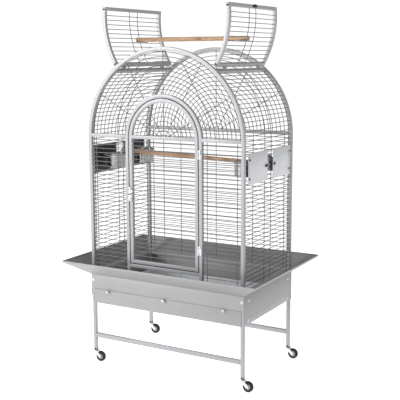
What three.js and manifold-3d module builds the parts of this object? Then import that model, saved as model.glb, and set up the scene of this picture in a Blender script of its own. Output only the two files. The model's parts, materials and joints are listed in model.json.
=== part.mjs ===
// Dome-top parrot cage on a wheeled stand. Millimetres, +Z up, front towards -Y,
// origin on the floor under the middle of the cage.
import * as THREE from 'three';
import { mergeVertices } from 'three/addons/utils/BufferGeometryUtils.js';
import Module from 'manifold-3d';

const wasm = await Module();
wasm.setup();

// ---- Driving dimensions -------------------------------------------------
const CAGE_WIDTH = 1000;
const CAGE_DEPTH = 620;
const TUBE = 20;
const GAP = 0.3;
// How far a part runs into another that it is one solid with
const SINK = 1;

// Heights of the stand and the base
const LEG_FOOT_Z = 66;
const LOWER_RAIL_Z = 147;
const LOWER_RAIL_HEIGHT = 25;
const BASE_Z = 362;
const SIDE_RAIL_HEIGHT = 42;
const DRAWER_FRONT_HEIGHT = 85;
const CAGE_Z = 531;

// Sheet metal base
const SHEET = 2;
const GUARD_REACH = 122;
const GUARD_RISE = 91;
const GUARD_LIP = 9;
const SKIRT_SIDE_DROP = 127;

// Cage panels
const SPRING_Z = 1344;
const CROSSBAR_RISE = 18;
const WIRE = 4;
const WIRE_PITCH = 25;
const WIRES_PER_BAR = 4;
const EDGE_WIRE_INSET = 25;
const SIDE_EDGE_WIRE_INSET = 17;
const MID_WIRE_SPREAD = 80;
const REAR_WIRE_STEP = 250;
const SPOKE_STEP = 30;
const HUB_RADIUS = 25;

// Door
const DOOR_HALF = 222;
const DOOR_GAP = 5;
const DOOR_Z = 631;
const HINGE_HEIGHT = 48;
const HINGE_STANDOFF = 5;
const UPPER_HINGE_Z = 1273;
const LOWER_HINGE_Z = 749;
const LATCH_Z = 1030;
const LATCH_LENGTH = 78;
const LATCH_WIDTH = 11;
const LATCH_BOSS_RADIUS = 7;
const LATCH_BOSS_OUT = 14;
const LATCH_LEVER = [12, 18];
const HINGE_LEAF_WIDTH = 16;
const HINGE_BARREL_RADIUS = 4;

// Roof flaps, shown open
const FLAP_ROOT_ANGLE = 50;
const FLAP_OPEN_ANGLE = 83;
const FLAP_PIVOT_OFFSET = 4.5;
const FLAP_HINGE_Y = 200;
const KNUCKLE_RADIUS = 4;
const KNUCKLE_LENGTH = 20;
const FLAP_LEAF_REACH = 14;

// Catch on the tip of the right flap
const CATCH_LENGTH = 40;
const CATCH_WIDTH = 14;
const CATCH_HEIGHT = 10;

// Perches
const PERCH_RADIUS = 13.5;
const PERCH_END_GAP = 2;
const INNER_PERCH_LEFT_Z = 1235;
const INNER_PERCH_RIGHT_Z = 1208;
const TOP_PERCH_RISE = 157.53;
const TOP_PERCH_INSET = 28.3;
const SHELF_REACH = 30;
const SHELF_THICKNESS = 3;

// Feeder doors and cups
const FEEDER_WIDTH = 235;
const FEEDER_HEIGHT = 166;
const FEEDER_Z = 1122;
const FEEDER_LAP = 6;
const CUP_RADIUS = 52;
const CUP_HEIGHT = 85;
const CUP_WALL = 2;
const CUP_RIM = 4;
const CUP_FOOT_ROUND = 6;
const CUP_ARM_WIDTH = 30;
const CUP_BOTTOM_Z = 1150;
const CUP_INSET = 83;
const RING_BAR = 5;
const HOOP_CLEARANCE = 1.2;

// Drawer and grate
const DRAWER_END_GAP = 13;
const DRAWER_TOP_GAP = 1;
const TRAY_CLEARANCE = 6;
const TRAY_WALL_TOP = 74;
const GRATE_BAR = 4;
const GRATE_CELLS = 9;
const KNOB_RADIUS = 9;
const KNOB_NECK_RADIUS = 4;
const KNOB_NECK_LENGTH = 3;
const KNOB_SPREAD = 383;
const KNOB_DROP = 7;

// Casters
const WHEEL_RADIUS = 30;
const WHEEL_WIDTH = 20;
const AXLE_RADIUS = 4;
const CASTER_TRAIL = 34;
const FORK_PLATE = 2;
const FORK_CLEARANCE = 1.5;
// The fork's crown: its reach before and behind the stem, its underside and top above the axle
const CROWN_XS = [-8, 11];
const CROWN_ZS = [27, 34];
const STEM_RADIUS = 7;
// The fork's toe below and beside the axle
const TOE_DROP = 7;
const TOE_BEFORE = 6;
const TOE_BEHIND = 9;
const SHOULDER_Z = 24;

// ---- Derived sizes ------------------------------------------------------
const HALF_W = CAGE_WIDTH / 2;
const HALF_D = CAGE_DEPTH / 2;
const ARCH_R = HALF_W;
const CAGE_BASE_Z = CAGE_Z + GAP;
const CROSSBAR_TOP_Z = SPRING_Z + CROSSBAR_RISE;
const CROSSBAR_Z = CROSSBAR_TOP_Z - TUBE;
const DRAWER_TOP_Z = BASE_Z + DRAWER_FRONT_HEIGHT;
const SIDE_RAIL_TOP_Z = BASE_Z + SIDE_RAIL_HEIGHT;
const SHEET_OUT = GAP + SHEET;
const JAMB_HALF = DOOR_HALF + DOOR_GAP;
const PANEL_BOTTOM_Z = CAGE_BASE_Z + TUBE;
const BAR_PITCH = WIRE_PITCH * WIRES_PER_BAR;
const EDGE_WIRE = HALF_D - TUBE - SIDE_EDGE_WIRE_INSET;
const PLANE_OFFSET = TUBE / 2;
const SIDES = [['left', -1], ['right', 1]];
const ENDS = [['front', -1], ['rear', 1]];
const radians = THREE.MathUtils.degToRad;

// ---- Materials ----------------------------------------------------------
const finish = (color, roughness, metalness) =>
  new THREE.MeshStandardMaterial({ color, roughness, metalness });
const POWDER_COAT = finish(0xc9c9d2, 0.55, 0.25);
const WIRE_COAT = finish(0xb8b8c0, 0.5, 0.3);
const SHEET_COAT = finish(0xc4c2c0, 0.5, 0.3);
const WOOD = finish(0xcda57d, 0.75, 0);
const CHROME = finish(0xe2e4e8, 0.15, 1);
const BLACK = finish(0x17171a, 0.6, 0);

// ---- Solids -------------------------------------------------------------
const GRID = 1000;

// A closed solid with its corners on a micrometre grid, so that faces meant to be level are level.
function solidOf(geometry) {
  geometry.deleteAttribute('normal');
  geometry.deleteAttribute('uv');
  const corners = geometry.attributes.position.array;
  corners.forEach((value, i) => { corners[i] = Math.round(value * GRID) / GRID; });
  const merged = mergeVertices(geometry, 1e-4);
  return new wasm.Manifold(new wasm.Mesh({
    numProp: 3,
    vertProperties: new Float32Array(merged.attributes.position.array),
    triVerts: new Uint32Array(merged.index.array),
  }));
}

function geometryOf(solid) {
  const { vertProperties, triVerts } = solid.getMesh();
  const geometry = new THREE.BufferGeometry();
  geometry.setAttribute('position', new THREE.BufferAttribute(vertProperties, 3));
  geometry.setIndex(new THREE.BufferAttribute(triVerts, 1));
  geometry.computeVertexNormals();
  return geometry;
}

const join = (solids) => solids.reduce((whole, solid) => whole.add(solid));

// A box between two opposite corners, given in any order.
function boxGeometry(xs, ys, zs) {
  const low = new THREE.Vector3(Math.min(...xs), Math.min(...ys), Math.min(...zs));
  const high = new THREE.Vector3(Math.max(...xs), Math.max(...ys), Math.max(...zs));
  const size = high.clone().sub(low);
  const centre = low.add(high).multiplyScalar(0.5);
  return new THREE.BoxGeometry(size.x, size.y, size.z).translate(centre.x, centre.y, centre.z);
}

const bar = (xs, ys, zs) => solidOf(boxGeometry(xs, ys, zs));

// A flat outline in the XZ plane, extruded from y0 to y1.
function slab(shape, [y0, y1], curveSegments = 12) {
  const geometry = new THREE.ExtrudeGeometry(shape, {
    depth: y1 - y0, bevelEnabled: false, curveSegments,
  });
  return solidOf(geometry.rotateX(Math.PI / 2).translate(0, y1, 0));
}

const TUBE_FACET = 7.5;
const WIRE_FACET = 15;
// An arc gets two sides for each division, so a division spans two facets.
const divisionsFor = (degrees, facet) => Math.max(1, Math.round(Math.abs(degrees) / facet / 2));

// Part of a ring in the XZ plane about (cx, cz), between two radii and two angles in degrees.
function ringPart([cx, cz], [inner, outer], [from, to], ys, facet = TUBE_FACET) {
  const shape = new THREE.Shape();
  shape.absarc(cx, cz, outer, radians(from), radians(to), false);
  shape.absarc(cx, cz, inner, radians(to), radians(from), true);
  return slab(shape, ys, divisionsFor(to - from, facet));
}

// A straight bar that runs outwards from (cx, cz) in the XZ plane at an angle in degrees.
function spoke([cx, cz], angle, [from, to], thickness, ys) {
  const geometry = boxGeometry([from, to], ys, [-thickness / 2, thickness / 2]);
  return solidOf(geometry.rotateY(-radians(angle)).translate(cx, 0, cz));
}

const upright = (radius, [z0, z1], x, y, sides = 16) => solidOf(
  new THREE.CylinderGeometry(radius, radius, z1 - z0, sides)
    .rotateX(Math.PI / 2).translate(x, y, (z0 + z1) / 2));

const rodAlongY = (radius, [y0, y1], x, z, sides = 16) => solidOf(
  new THREE.CylinderGeometry(radius, radius, y1 - y0, sides).translate(x, (y0 + y1) / 2, z));

// Values at a pitch, strictly between two ends, counted from the first.
function steps(from, to, pitch) {
  const count = Math.ceil((to - from) / pitch - 1e-6) - 1;
  return Array.from({ length: Math.max(0, count) }, (_, i) => from + pitch * (i + 1));
}

const around = (centre, thickness) => [centre - thickness / 2, centre + thickness / 2];
const mirrorSpan = (side, [from, to]) => (side > 0 ? [from, to] : [180 - to, 180 - from]);

// ---- Assembly -----------------------------------------------------------
const cage = new THREE.Group();

function addPart(name, solid, material, parent = cage) {
  const mesh = new THREE.Mesh(geometryOf(solid), material);
  mesh.name = name;
  parent.add(mesh);
  return mesh;
}

// ---- Stand --------------------------------------------------------------
function buildStand() {
  for (const [sideName, side] of SIDES) {
    for (const [endName, end] of ENDS) {
      const xs = [side * (HALF_W - TUBE), side * HALF_W];
      const ys = [end * (HALF_D - TUBE), end * HALF_D];
      addPart(`leg_${endName}_${sideName}`, bar(xs, ys, [LEG_FOOT_Z, CAGE_Z]), POWDER_COAT);
    }
    const railXs = [side * (HALF_W - TUBE), side * HALF_W];
    const railYs = around(0, CAGE_DEPTH - 2 * (TUBE + GAP));
    addPart(`side_rail_${sideName}`, bar(railXs, railYs, [BASE_Z, SIDE_RAIL_TOP_Z]), POWDER_COAT);
  }
  for (const [endName, end] of ENDS) {
    const xs = around(0, CAGE_WIDTH - 2 * (TUBE + GAP));
    const ys = [end * (HALF_D - TUBE), end * HALF_D];
    const zs = [LOWER_RAIL_Z, LOWER_RAIL_Z + LOWER_RAIL_HEIGHT];
    addPart(`lower_rail_${endName}`, bar(xs, ys, zs), POWDER_COAT);
  }
}

// ---- Base sheets --------------------------------------------------------
// A profile of [distance outwards, height] swept along one side of the cage,
// with both ends mitred to meet the sweeps on the neighbouring sides.
function mitredSweep(profile, sideX, sideY) {
  const along = sideX ? HALF_D : HALF_W;
  const across = sideX ? HALF_W : HALF_D;
  const points = [];
  for (const end of [-1, 1]) {
    for (const [out, z] of profile) {
      const run = end * (along + out - GAP);
      points.push(sideX ? [sideX * (across + out), run, z] : [run, sideY * (across + out), z]);
    }
  }
  const n = profile.length;
  const outline = profile.map(([out, z]) => new THREE.Vector2(out, z));
  const caps = THREE.ShapeUtils.triangulateShape(outline, []);
  const faces = caps.flatMap(([a, b, c]) => [[a, b, c], [a + n, c + n, b + n]]);
  for (let i = 0; i < n; i += 1) {
    const j = (i + 1) % n;
    faces.push([i, i + n, j], [j, i + n, j + n]);
  }
  const turned = THREE.ShapeUtils.isClockWise(outline) === ((sideX || -sideY) > 0);
  const index = faces.flatMap(([a, b, c]) => (turned ? [a, c, b] : [a, b, c]));
  const geometry = new THREE.BufferGeometry();
  geometry.setAttribute('position', new THREE.Float32BufferAttribute(points.flat(), 3));
  geometry.setIndex(index);
  return geometry;
}

const GUARD_PROFILE = [
  [SHEET_OUT - SHEET, CAGE_Z + GAP],
  [SHEET_OUT, CAGE_Z + GAP],
  [GUARD_REACH, CAGE_Z + GUARD_RISE - GUARD_LIP],
  [GUARD_REACH, CAGE_Z + GUARD_RISE],
  [GUARD_REACH - SHEET, CAGE_Z + GUARD_RISE],
  [GUARD_REACH - SHEET, CAGE_Z + GUARD_RISE - GUARD_LIP + SHEET],
];
const skirtProfile = (bottom) => [
  [SHEET_OUT - SHEET, bottom],
  [SHEET_OUT, bottom],
  [SHEET_OUT, CAGE_Z],
  [SHEET_OUT - SHEET, CAGE_Z],
];

function buildBaseSheets() {
  const walls = [
    ['front', 0, -1, DRAWER_TOP_Z],
    ['rear', 0, 1, BASE_Z],
    ['left', -1, 0, CAGE_Z - SKIRT_SIDE_DROP],
    ['right', 1, 0, CAGE_Z - SKIRT_SIDE_DROP],
  ];
  for (const [name, sideX, sideY, bottom] of walls) {
    addPart(`seed_guard_${name}`, solidOf(mitredSweep(GUARD_PROFILE, sideX, sideY)), SHEET_COAT);
    addPart(`skirt_${name}`, solidOf(mitredSweep(skirtProfile(bottom), sideX, sideY)), SHEET_COAT);
  }
}

// ---- Drawer, grate and knobs -------------------------------------------
// A flat sheet of bars with two rows of openings, its underside at height z.
function grate([x0, x1], [y0, y1], z) {
  const cellX = (x1 - x0 - GRATE_BAR) / GRATE_CELLS;
  const cellY = (y1 - y0 - GRATE_BAR) / 2;
  let sheet = bar([x0, x1], [y0, y1], [z, z + GRATE_BAR]);
  for (let i = 0; i < GRATE_CELLS; i += 1) {
    for (let j = 0; j < 2; j += 1) {
      const xs = [x0 + cellX * i + GRATE_BAR, x0 + cellX * (i + 1)];
      const ys = [y0 + cellY * j + GRATE_BAR, y0 + cellY * (j + 1)];
      sheet = sheet.subtract(bar(xs, ys, [z - GRATE_BAR, z + 2 * GRATE_BAR]));
    }
  }
  return sheet;
}

function buildDrawer() {
  const half = HALF_W - TUBE - TRAY_CLEARANCE;
  const frontHalf = HALF_W - DRAWER_END_GAP;
  const frontY = -HALF_D - GAP;
  const backY = HALF_D - TUBE - TRAY_CLEARANCE;
  const trayTop = BASE_Z + TRAY_WALL_TOP;
  const trayFrontY = frontY + GAP;
  const shell = bar([-half, half], [trayFrontY, backY], [BASE_Z + SHEET, trayTop]);
  const hollow = bar([-half + SHEET, half - SHEET], [trayFrontY + SHEET, backY - SHEET],
    [BASE_Z + 2 * SHEET, trayTop + SINK]);
  const front = bar([-frontHalf, frontHalf], [frontY - SHEET, frontY],
    [BASE_Z, DRAWER_TOP_Z - DRAWER_TOP_GAP]);
  addPart('drawer_tray', shell.subtract(hollow), SHEET_COAT);
  addPart('drawer_front', front, SHEET_COAT);

  const grateXs = [SHEET - half, half - SHEET];
  const grateYs = [frontY + 2 * SHEET, backY - SHEET];
  addPart('floor_grate', grate(grateXs, grateYs, trayTop + GAP), WIRE_COAT);

  const knobZ = DRAWER_TOP_Z - KNOB_DROP;
  const ball = (x) => solidOf(new THREE.SphereGeometry(KNOB_RADIUS, 12, 8)
    .translate(x, frontY - SHEET - KNOB_RADIUS - KNOB_NECK_LENGTH, knobZ));
  const faceY = frontY - SHEET;
  const neck = (x) => rodAlongY(KNOB_NECK_RADIUS, [faceY - KNOB_RADIUS, faceY - GAP], x, knobZ, 8);
  for (const [name, x] of [['left', -KNOB_SPREAD], ['middle', 0], ['right', KNOB_SPREAD]]) {
    addPart(`drawer_knob_${name}`, ball(x).add(neck(x)), CHROME);
  }
}

// ---- Front and rear frames ---------------------------------------------
function archFrame(ys) {
  const posts = SIDES.map(([, side]) =>
    bar([side * (HALF_W - TUBE), side * HALF_W], ys, [CAGE_BASE_Z, SPRING_Z]));
  return join([
    ringPart([0, SPRING_Z], [ARCH_R - TUBE, ARCH_R], [0, 180], ys),
    ...posts,
    bar([-HALF_W, HALF_W], ys, [CAGE_BASE_Z, PANEL_BOTTOM_Z]),
  ]);
}

function buildFrames() {
  const rearYs = [HALF_D - TUBE, HALF_D];
  const rearBar = bar([-HALF_W + TUBE / 2, HALF_W - TUBE / 2], rearYs, [CROSSBAR_Z, CROSSBAR_TOP_Z]);
  addPart('rear_frame', archFrame(rearYs).add(rearBar), POWDER_COAT);

  const frontYs = [-HALF_D, -HALF_D + TUBE];
  const jambZs = [PANEL_BOTTOM_Z - SINK, SPRING_Z];
  const pieces = [archFrame(frontYs)];
  for (const [, side] of SIDES) {
    pieces.push(bar([side * JAMB_HALF, side * (JAMB_HALF + TUBE)], frontYs, jambZs));
    pieces.push(bar([side * (JAMB_HALF + TUBE / 2), side * (HALF_W - TUBE / 2)], frontYs,
      [CROSSBAR_Z, CROSSBAR_TOP_Z]));
  }
  pieces.push(ringPart([0, SPRING_Z], [JAMB_HALF, JAMB_HALF + TUBE], [0, 180], frontYs));
  pieces.push(bar([-JAMB_HALF - TUBE / 2, JAMB_HALF + TUBE / 2], frontYs,
    [DOOR_Z - DOOR_GAP - TUBE, DOOR_Z - DOOR_GAP]));
  addPart('front_frame', join(pieces), POWDER_COAT);
}

// ---- Flat wire panels ---------------------------------------------------
// Rows and uprights of wire in the XZ plane at depth y.
function wireGrid([x0, x1], [z0, z1], uprights, y, firstRow = z0) {
  const ys = around(y, WIRE);
  const rows = steps(firstRow, z1 - WIRE, BAR_PITCH).map((z) => bar([x0, x1], ys, around(z, WIRE)));
  const posts = uprights.map((x) => bar(around(x, WIRE), ys, [z0, z1]));
  return join([...rows, ...posts]);
}

// Rings and spokes above a crossbar, between two radii.
function wireFan([inner, outer], ringRadii, angles, y) {
  const ys = around(y, WIRE);
  const hub = [0, SPRING_Z];
  const rings = ringRadii.map((r) => ringPart(hub, around(r, WIRE), [0, 180], ys, WIRE_FACET));
  const spokes = angles.map((a) => spoke(hub, a, [inner, outer], WIRE, ys));
  const below = bar([-ARCH_R, ARCH_R], [y - TUBE, y + TUBE], [SPRING_Z - ARCH_R, CROSSBAR_TOP_Z + GAP]);
  return join([...rings, ...spokes]).subtract(below);
}

const SPOKES = steps(0, 180, SPOKE_STEP);

// The radii of the rings of a full fan, from the hub out to a tube at the given radius.
function ringsFrom(outer) {
  const first = HUB_RADIUS + 2 * WIRE_PITCH;
  return [first, ...steps(first, outer - WIRE, BAR_PITCH)];
}

function buildPanelWires() {
  const frontY = -HALF_D + PLANE_OFFSET;
  const rearY = HALF_D - PLANE_OFFSET;
  const zs = [PANEL_BOTTOM_Z + GAP, CROSSBAR_Z - GAP];
  for (const [sideName, side] of SIDES) {
    const near = JAMB_HALF + TUBE + GAP;
    const far = HALF_W - TUBE - GAP;
    const uprights = [near + EDGE_WIRE_INSET, far - EDGE_WIRE_INSET].map((x) => side * x);
    const xs = [side * near, side * far];
    addPart(`front_wires_${sideName}`, wireGrid(xs, zs, uprights, frontY), WIRE_COAT);
  }
  const fanRadii = steps(JAMB_HALF + TUBE - BAR_PITCH / 3, ARCH_R - TUBE - WIRE, BAR_PITCH);
  addPart('front_fan_wires', wireFan([JAMB_HALF + TUBE + GAP, ARCH_R - TUBE - GAP],
    fanRadii, SPOKES, frontY), WIRE_COAT);

  const rearSpan = HALF_W - TUBE - GAP;
  const rearEdge = rearSpan - EDGE_WIRE_INSET;
  addPart('rear_wires', wireGrid([-rearSpan, rearSpan], zs,
    [-rearEdge, -REAR_WIRE_STEP, 0, REAR_WIRE_STEP, rearEdge], rearY), WIRE_COAT);
  const rearRadii = ringsFrom(ARCH_R - TUBE);
  addPart('rear_fan_wires', wireFan([0, ARCH_R - TUBE - GAP], rearRadii, SPOKES, rearY), WIRE_COAT);
}

// ---- Side panels --------------------------------------------------------
const FEEDER_CENTRE = MID_WIRE_SPREAD / 2 - FEEDER_LAP + FEEDER_WIDTH / 2;
const FEEDERS = ENDS.map(([name, end]) => ({ name, y: end * FEEDER_CENTRE }));
const SIDE_UPRIGHTS = [-EDGE_WIRE, -MID_WIRE_SPREAD / 2, MID_WIRE_SPREAD / 2, EDGE_WIRE];

function buildSidePanels() {
  const span = HALF_D - TUBE - GAP;
  const openingZs = [FEEDER_Z + FEEDER_LAP, FEEDER_Z + FEEDER_HEIGHT - FEEDER_LAP];
  for (const [sideName, side] of SIDES) {
    const xs = around(side * (HALF_W - PLANE_OFFSET), WIRE);
    const tubeXs = [side * (HALF_W - TUBE), side * HALF_W];
    const rows = steps(PANEL_BOTTOM_Z, SPRING_Z - WIRE, BAR_PITCH)
      .map((z) => bar(xs, [-span, span], around(z, WIRE)));
    const cuts = FEEDERS.map(({ y }) => bar([side * (HALF_W - 2 * TUBE), side * (HALF_W + TUBE)],
      [y - FEEDER_WIDTH / 2 + FEEDER_LAP, y + FEEDER_WIDTH / 2 - FEEDER_LAP], openingZs));
    const edges = openingZs.map((z, i) => bar(xs, [-span, span], [z + (i - 1) * WIRE, z + i * WIRE]));
    const uprights = SIDE_UPRIGHTS.map((y) =>
      bar(xs, around(y, WIRE), [PANEL_BOTTOM_Z - SINK, SPRING_Z - GAP]));
    const wires = cuts.reduce((whole, cut) => whole.subtract(cut), join(rows));
    const tube = bar(tubeXs, [-span, span], [CAGE_BASE_Z, PANEL_BOTTOM_Z]);
    addPart(`side_panel_${sideName}`, join([wires, ...edges, ...uprights, tube]), POWDER_COAT);
  }
}

// ---- Vaulted roof sides and flaps --------------------------------------
const PIVOT_R = ARCH_R + FLAP_PIVOT_OFFSET;
const TUBE_SWEEP = THREE.MathUtils.radToDeg(TUBE / (ARCH_R - PLANE_OFFSET));
const SPLIT_SWEEP = THREE.MathUtils.radToDeg(GAP / ARCH_R);
const PITCH_SWEEP = THREE.MathUtils.radToDeg(BAR_PITCH / (ARCH_R - PLANE_OFFSET));

// The right flap's pivot, and the middle of its arc when it is open, measured from the hub.
const PIVOT = [PIVOT_R * Math.cos(radians(FLAP_ROOT_ANGLE)), PIVOT_R * Math.sin(radians(FLAP_ROOT_ANGLE))];
const OPEN_SIN = Math.sin(radians(FLAP_OPEN_ANGLE));
const OPEN_COS = Math.cos(radians(FLAP_OPEN_ANGLE));
const OPEN_CENTRE = [PIVOT[0] - PIVOT[0] * OPEN_COS - PIVOT[1] * OPEN_SIN,
  PIVOT[1] + PIVOT[0] * OPEN_SIN - PIVOT[1] * OPEN_COS];

// The top perch rests on shelves at the mesh of the open flaps.
const TOP_PERCH_Z = SPRING_Z + PIVOT[1] + TOP_PERCH_RISE;
const SHELF_TOP_Z = TOP_PERCH_Z - PERCH_RADIUS - GAP;
const SHELF_DEPTH_BELOW = OPEN_CENTRE[1] - (SHELF_TOP_Z - SPRING_Z);
const FLAP_MESH_X = OPEN_CENTRE[0] + Math.sqrt((ARCH_R - PLANE_OFFSET) ** 2 - SHELF_DEPTH_BELOW ** 2);
const TOP_PERCH_HALF = FLAP_MESH_X - TOP_PERCH_INSET;

// A tube along the depth of the vault, its centre at the given angle.
function vaultTube(centre, angle, ys) {
  return spoke(centre, angle, [ARCH_R - TUBE, ARCH_R], TUBE, ys);
}

// Butt hinge leaves and barrels on the pivot line; direction is +1 above the split, -1 below.
function knuckles(centre, angle, direction, spans) {
  return spans.flatMap((ys) => {
    const barrel = rodAlongY(KNUCKLE_RADIUS, ys, centre[0] + PIVOT_R * Math.cos(radians(angle)),
      centre[1] + PIVOT_R * Math.sin(radians(angle)), 8);
    const leaf = solidOf(boxGeometry([ARCH_R - SINK, ARCH_R + SHEET], ys, [0, direction * FLAP_LEAF_REACH])
      .rotateY(-radians(angle)).translate(centre[0], 0, centre[1]));
    return [barrel, leaf];
  });
}

// The curved wires of a stretch of the vault between two angles.
function vaultWires(centre, [from, to], side, ySpan) {
  const radii = around(ARCH_R - PLANE_OFFSET, WIRE);
  const [a, b] = mirrorSpan(side, [from, to]);
  const hoops = SIDE_UPRIGHTS.map((y) => ringPart(centre, radii, [a, b], around(y, WIRE), WIRE_FACET));
  const rods = steps(from, to - TUBE_SWEEP / 2, PITCH_SWEEP)
    .map((angle) => (side > 0 ? angle : 180 - angle))
    .map((angle) => spoke(centre, angle, radii, WIRE, [-ySpan, ySpan]));
  return [...hoops, ...rods];
}

function buildVaultSides() {
  const span = HALF_D - TUBE - GAP;
  for (const [sideName, side] of SIDES) {
    const centre = [0, SPRING_Z];
    const split = side > 0 ? FLAP_ROOT_ANGLE : 180 - FLAP_ROOT_ANGLE;
    const tubeAngle = FLAP_ROOT_ANGLE - SPLIT_SWEEP - TUBE_SWEEP / 2;
    const tube = vaultTube(centre, side > 0 ? tubeAngle : 180 - tubeAngle, [-span, span]);
    const below = bar([-HALF_W - TUBE, HALF_W + TUBE], [-HALF_D, HALF_D], [SPRING_Z - HALF_W, SPRING_Z]);
    const wires = join(vaultWires(centre, [0, tubeAngle], side, span)).subtract(below);
    const hinge = knuckles(centre, split, -side, [-1, 1].map((end) =>
      around(end * FLAP_HINGE_Y, KNUCKLE_LENGTH)));
    addPart(`vault_side_${sideName}`, join([tube, wires, ...hinge]), POWDER_COAT);
  }
}

// The small shelf on a flap that an end of the top perch rests on, level when the flap is open,
// so it is turned back by as much as the flap's own opening.
function perchShelf(pivot, side) {
  const top = SHELF_TOP_Z - SPRING_Z - pivot[1];
  const inner = side * (TOP_PERCH_HALF - SHELF_REACH) - pivot[0];
  const outer = side * (TOP_PERCH_HALF + SHELF_REACH) - pivot[0];
  const turn = -radians(side * FLAP_OPEN_ANGLE);
  const plate = boxGeometry([inner, outer], around(0, MID_WIRE_SPREAD + WIRE), [top - SHELF_THICKNESS, top]);
  return solidOf(plate.rotateY(turn));
}

function buildFlaps() {
  const span = HALF_D - TUBE - 3 * GAP;
  const outerKnuckle = KNUCKLE_LENGTH / 4 + 2 * GAP;
  for (const [sideName, side] of SIDES) {
    const split = side > 0 ? FLAP_ROOT_ANGLE : 180 - FLAP_ROOT_ANGLE;
    const pivot = [PIVOT_R * Math.cos(radians(split)), PIVOT_R * Math.sin(radians(split))];
    const centre = [-pivot[0], -pivot[1]];
    const rootAngle = FLAP_ROOT_ANGLE + SPLIT_SWEEP + TUBE_SWEEP / 2;
    const tipAngle = 90 - SPLIT_SWEEP * 2 - TUBE_SWEEP / 2;
    const at = (angle) => (side > 0 ? angle : 180 - angle);
    const rim = mirrorSpan(side, [rootAngle, tipAngle]);
    const hoops = [-1, 1].map((end) => ringPart(centre, [ARCH_R - TUBE, ARCH_R], rim,
      end > 0 ? [span - TUBE, span] : [-span, TUBE - span]));
    const ends = [rootAngle, tipAngle].map((angle) => vaultTube(centre, at(angle), [-span, span]));
    const wires = vaultWires(centre, [rootAngle, tipAngle], side, span - TUBE / 2);
    const shelf = perchShelf(pivot, side);
    const hinge = knuckles(centre, split, side, [-1, 1].flatMap((end) => [-1, 1].map((half) =>
      around(end * FLAP_HINGE_Y + half * (outerKnuckle + KNUCKLE_LENGTH / 2), KNUCKLE_LENGTH / 2))));
    const holder = new THREE.Group();
    holder.position.set(pivot[0], 0, SPRING_Z + pivot[1]);
    holder.rotation.y = radians(side * FLAP_OPEN_ANGLE);
    const frame = join([...hoops, ...ends, ...wires, ...hinge, shelf]);
    addPart(`roof_flap_${sideName}`, frame, POWDER_COAT, holder);
    if (side > 0) {
      const reach = [ARCH_R + GAP, ARCH_R + CATCH_HEIGHT];
      const body = spoke(centre, tipAngle, reach, CATCH_WIDTH, around(0, CATCH_LENGTH));
      addPart('roof_catch', body, BLACK, holder);
    }
    cage.add(holder);
  }
}

// ---- Door ---------------------------------------------------------------
function buildDoor() {
  const ys = [-HALF_D, -HALF_D + TUBE];
  const wireY = -HALF_D + PLANE_OFFSET;
  const inner = DOOR_HALF - TUBE;
  const uprights = SIDES.map(([, side]) => bar([side * inner, side * DOOR_HALF], ys, [DOOR_Z, SPRING_Z]));
  const sill = bar([-DOOR_HALF, DOOR_HALF], ys, [DOOR_Z, DOOR_Z + TUBE]);
  const crossbar = bar([-inner - SINK, inner + SINK], ys, [CROSSBAR_Z, CROSSBAR_TOP_Z]);
  const arch = ringPart([0, SPRING_Z], [inner, DOOR_HALF], [0, 180], ys);
  addPart('door_frame', join([...uprights, sill, crossbar, arch]), POWDER_COAT);

  const span = inner - GAP;
  const zs = [DOOR_Z + TUBE + GAP, CROSSBAR_Z - GAP];
  addPart('door_wires', wireGrid([-span, span], zs, [0], wireY), WIRE_COAT);
  addPart('door_fan_wires', wireFan([0, inner - GAP], ringsFrom(inner), SPOKES, wireY), WIRE_COAT);

  const hingeX = DOOR_HALF + DOOR_GAP / 2;
  const hingeY = -HALF_D - HINGE_STANDOFF;
  for (const [name, z] of [['upper', UPPER_HINGE_Z], ['lower', LOWER_HINGE_Z]]) {
    const zSpan = around(z, HINGE_HEIGHT);
    const barrel = upright(HINGE_BARREL_RADIUS, zSpan, hingeX, hingeY);
    const leaf = bar([hingeX, hingeX + HINGE_LEAF_WIDTH], [-HALF_D - SHEET, -HALF_D - GAP], zSpan);
    addPart(`door_hinge_${name}`, barrel.add(leaf), CHROME);
  }

  const latchX = -DOOR_HALF + TUBE / 2;
  const boss = rodAlongY(LATCH_BOSS_RADIUS, [-HALF_D - LATCH_BOSS_OUT, -HALF_D - GAP], latchX, LATCH_Z);
  const lever = bar(around(latchX, LATCH_WIDTH), LATCH_LEVER.map((out) => -HALF_D - out),
    around(LATCH_Z, LATCH_LENGTH));
  addPart('door_latch', boss.add(lever), CHROME);
}

// ---- Perches ------------------------------------------------------------
function perch([x0, z0], [x1, z1], radius) {
  const from = new THREE.Vector3(x0, 0, z0);
  const to = new THREE.Vector3(x1, 0, z1);
  const geometry = new THREE.CylinderGeometry(radius, radius, from.distanceTo(to), 16)
    .rotateZ(-Math.PI / 2).rotateY(-Math.atan2(z1 - z0, x1 - x0));
  return solidOf(geometry.translate((x0 + x1) / 2, 0, (z0 + z1) / 2));
}

function buildPerches() {
  const end = HALF_W - PLANE_OFFSET - WIRE / 2 - PERCH_END_GAP;
  addPart('inner_perch', perch([-end, INNER_PERCH_LEFT_Z], [end, INNER_PERCH_RIGHT_Z], PERCH_RADIUS), WOOD);
  addPart('top_perch', perch([-TOP_PERCH_HALF, TOP_PERCH_Z], [TOP_PERCH_HALF, TOP_PERCH_Z],
    PERCH_RADIUS), WOOD);
}

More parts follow.
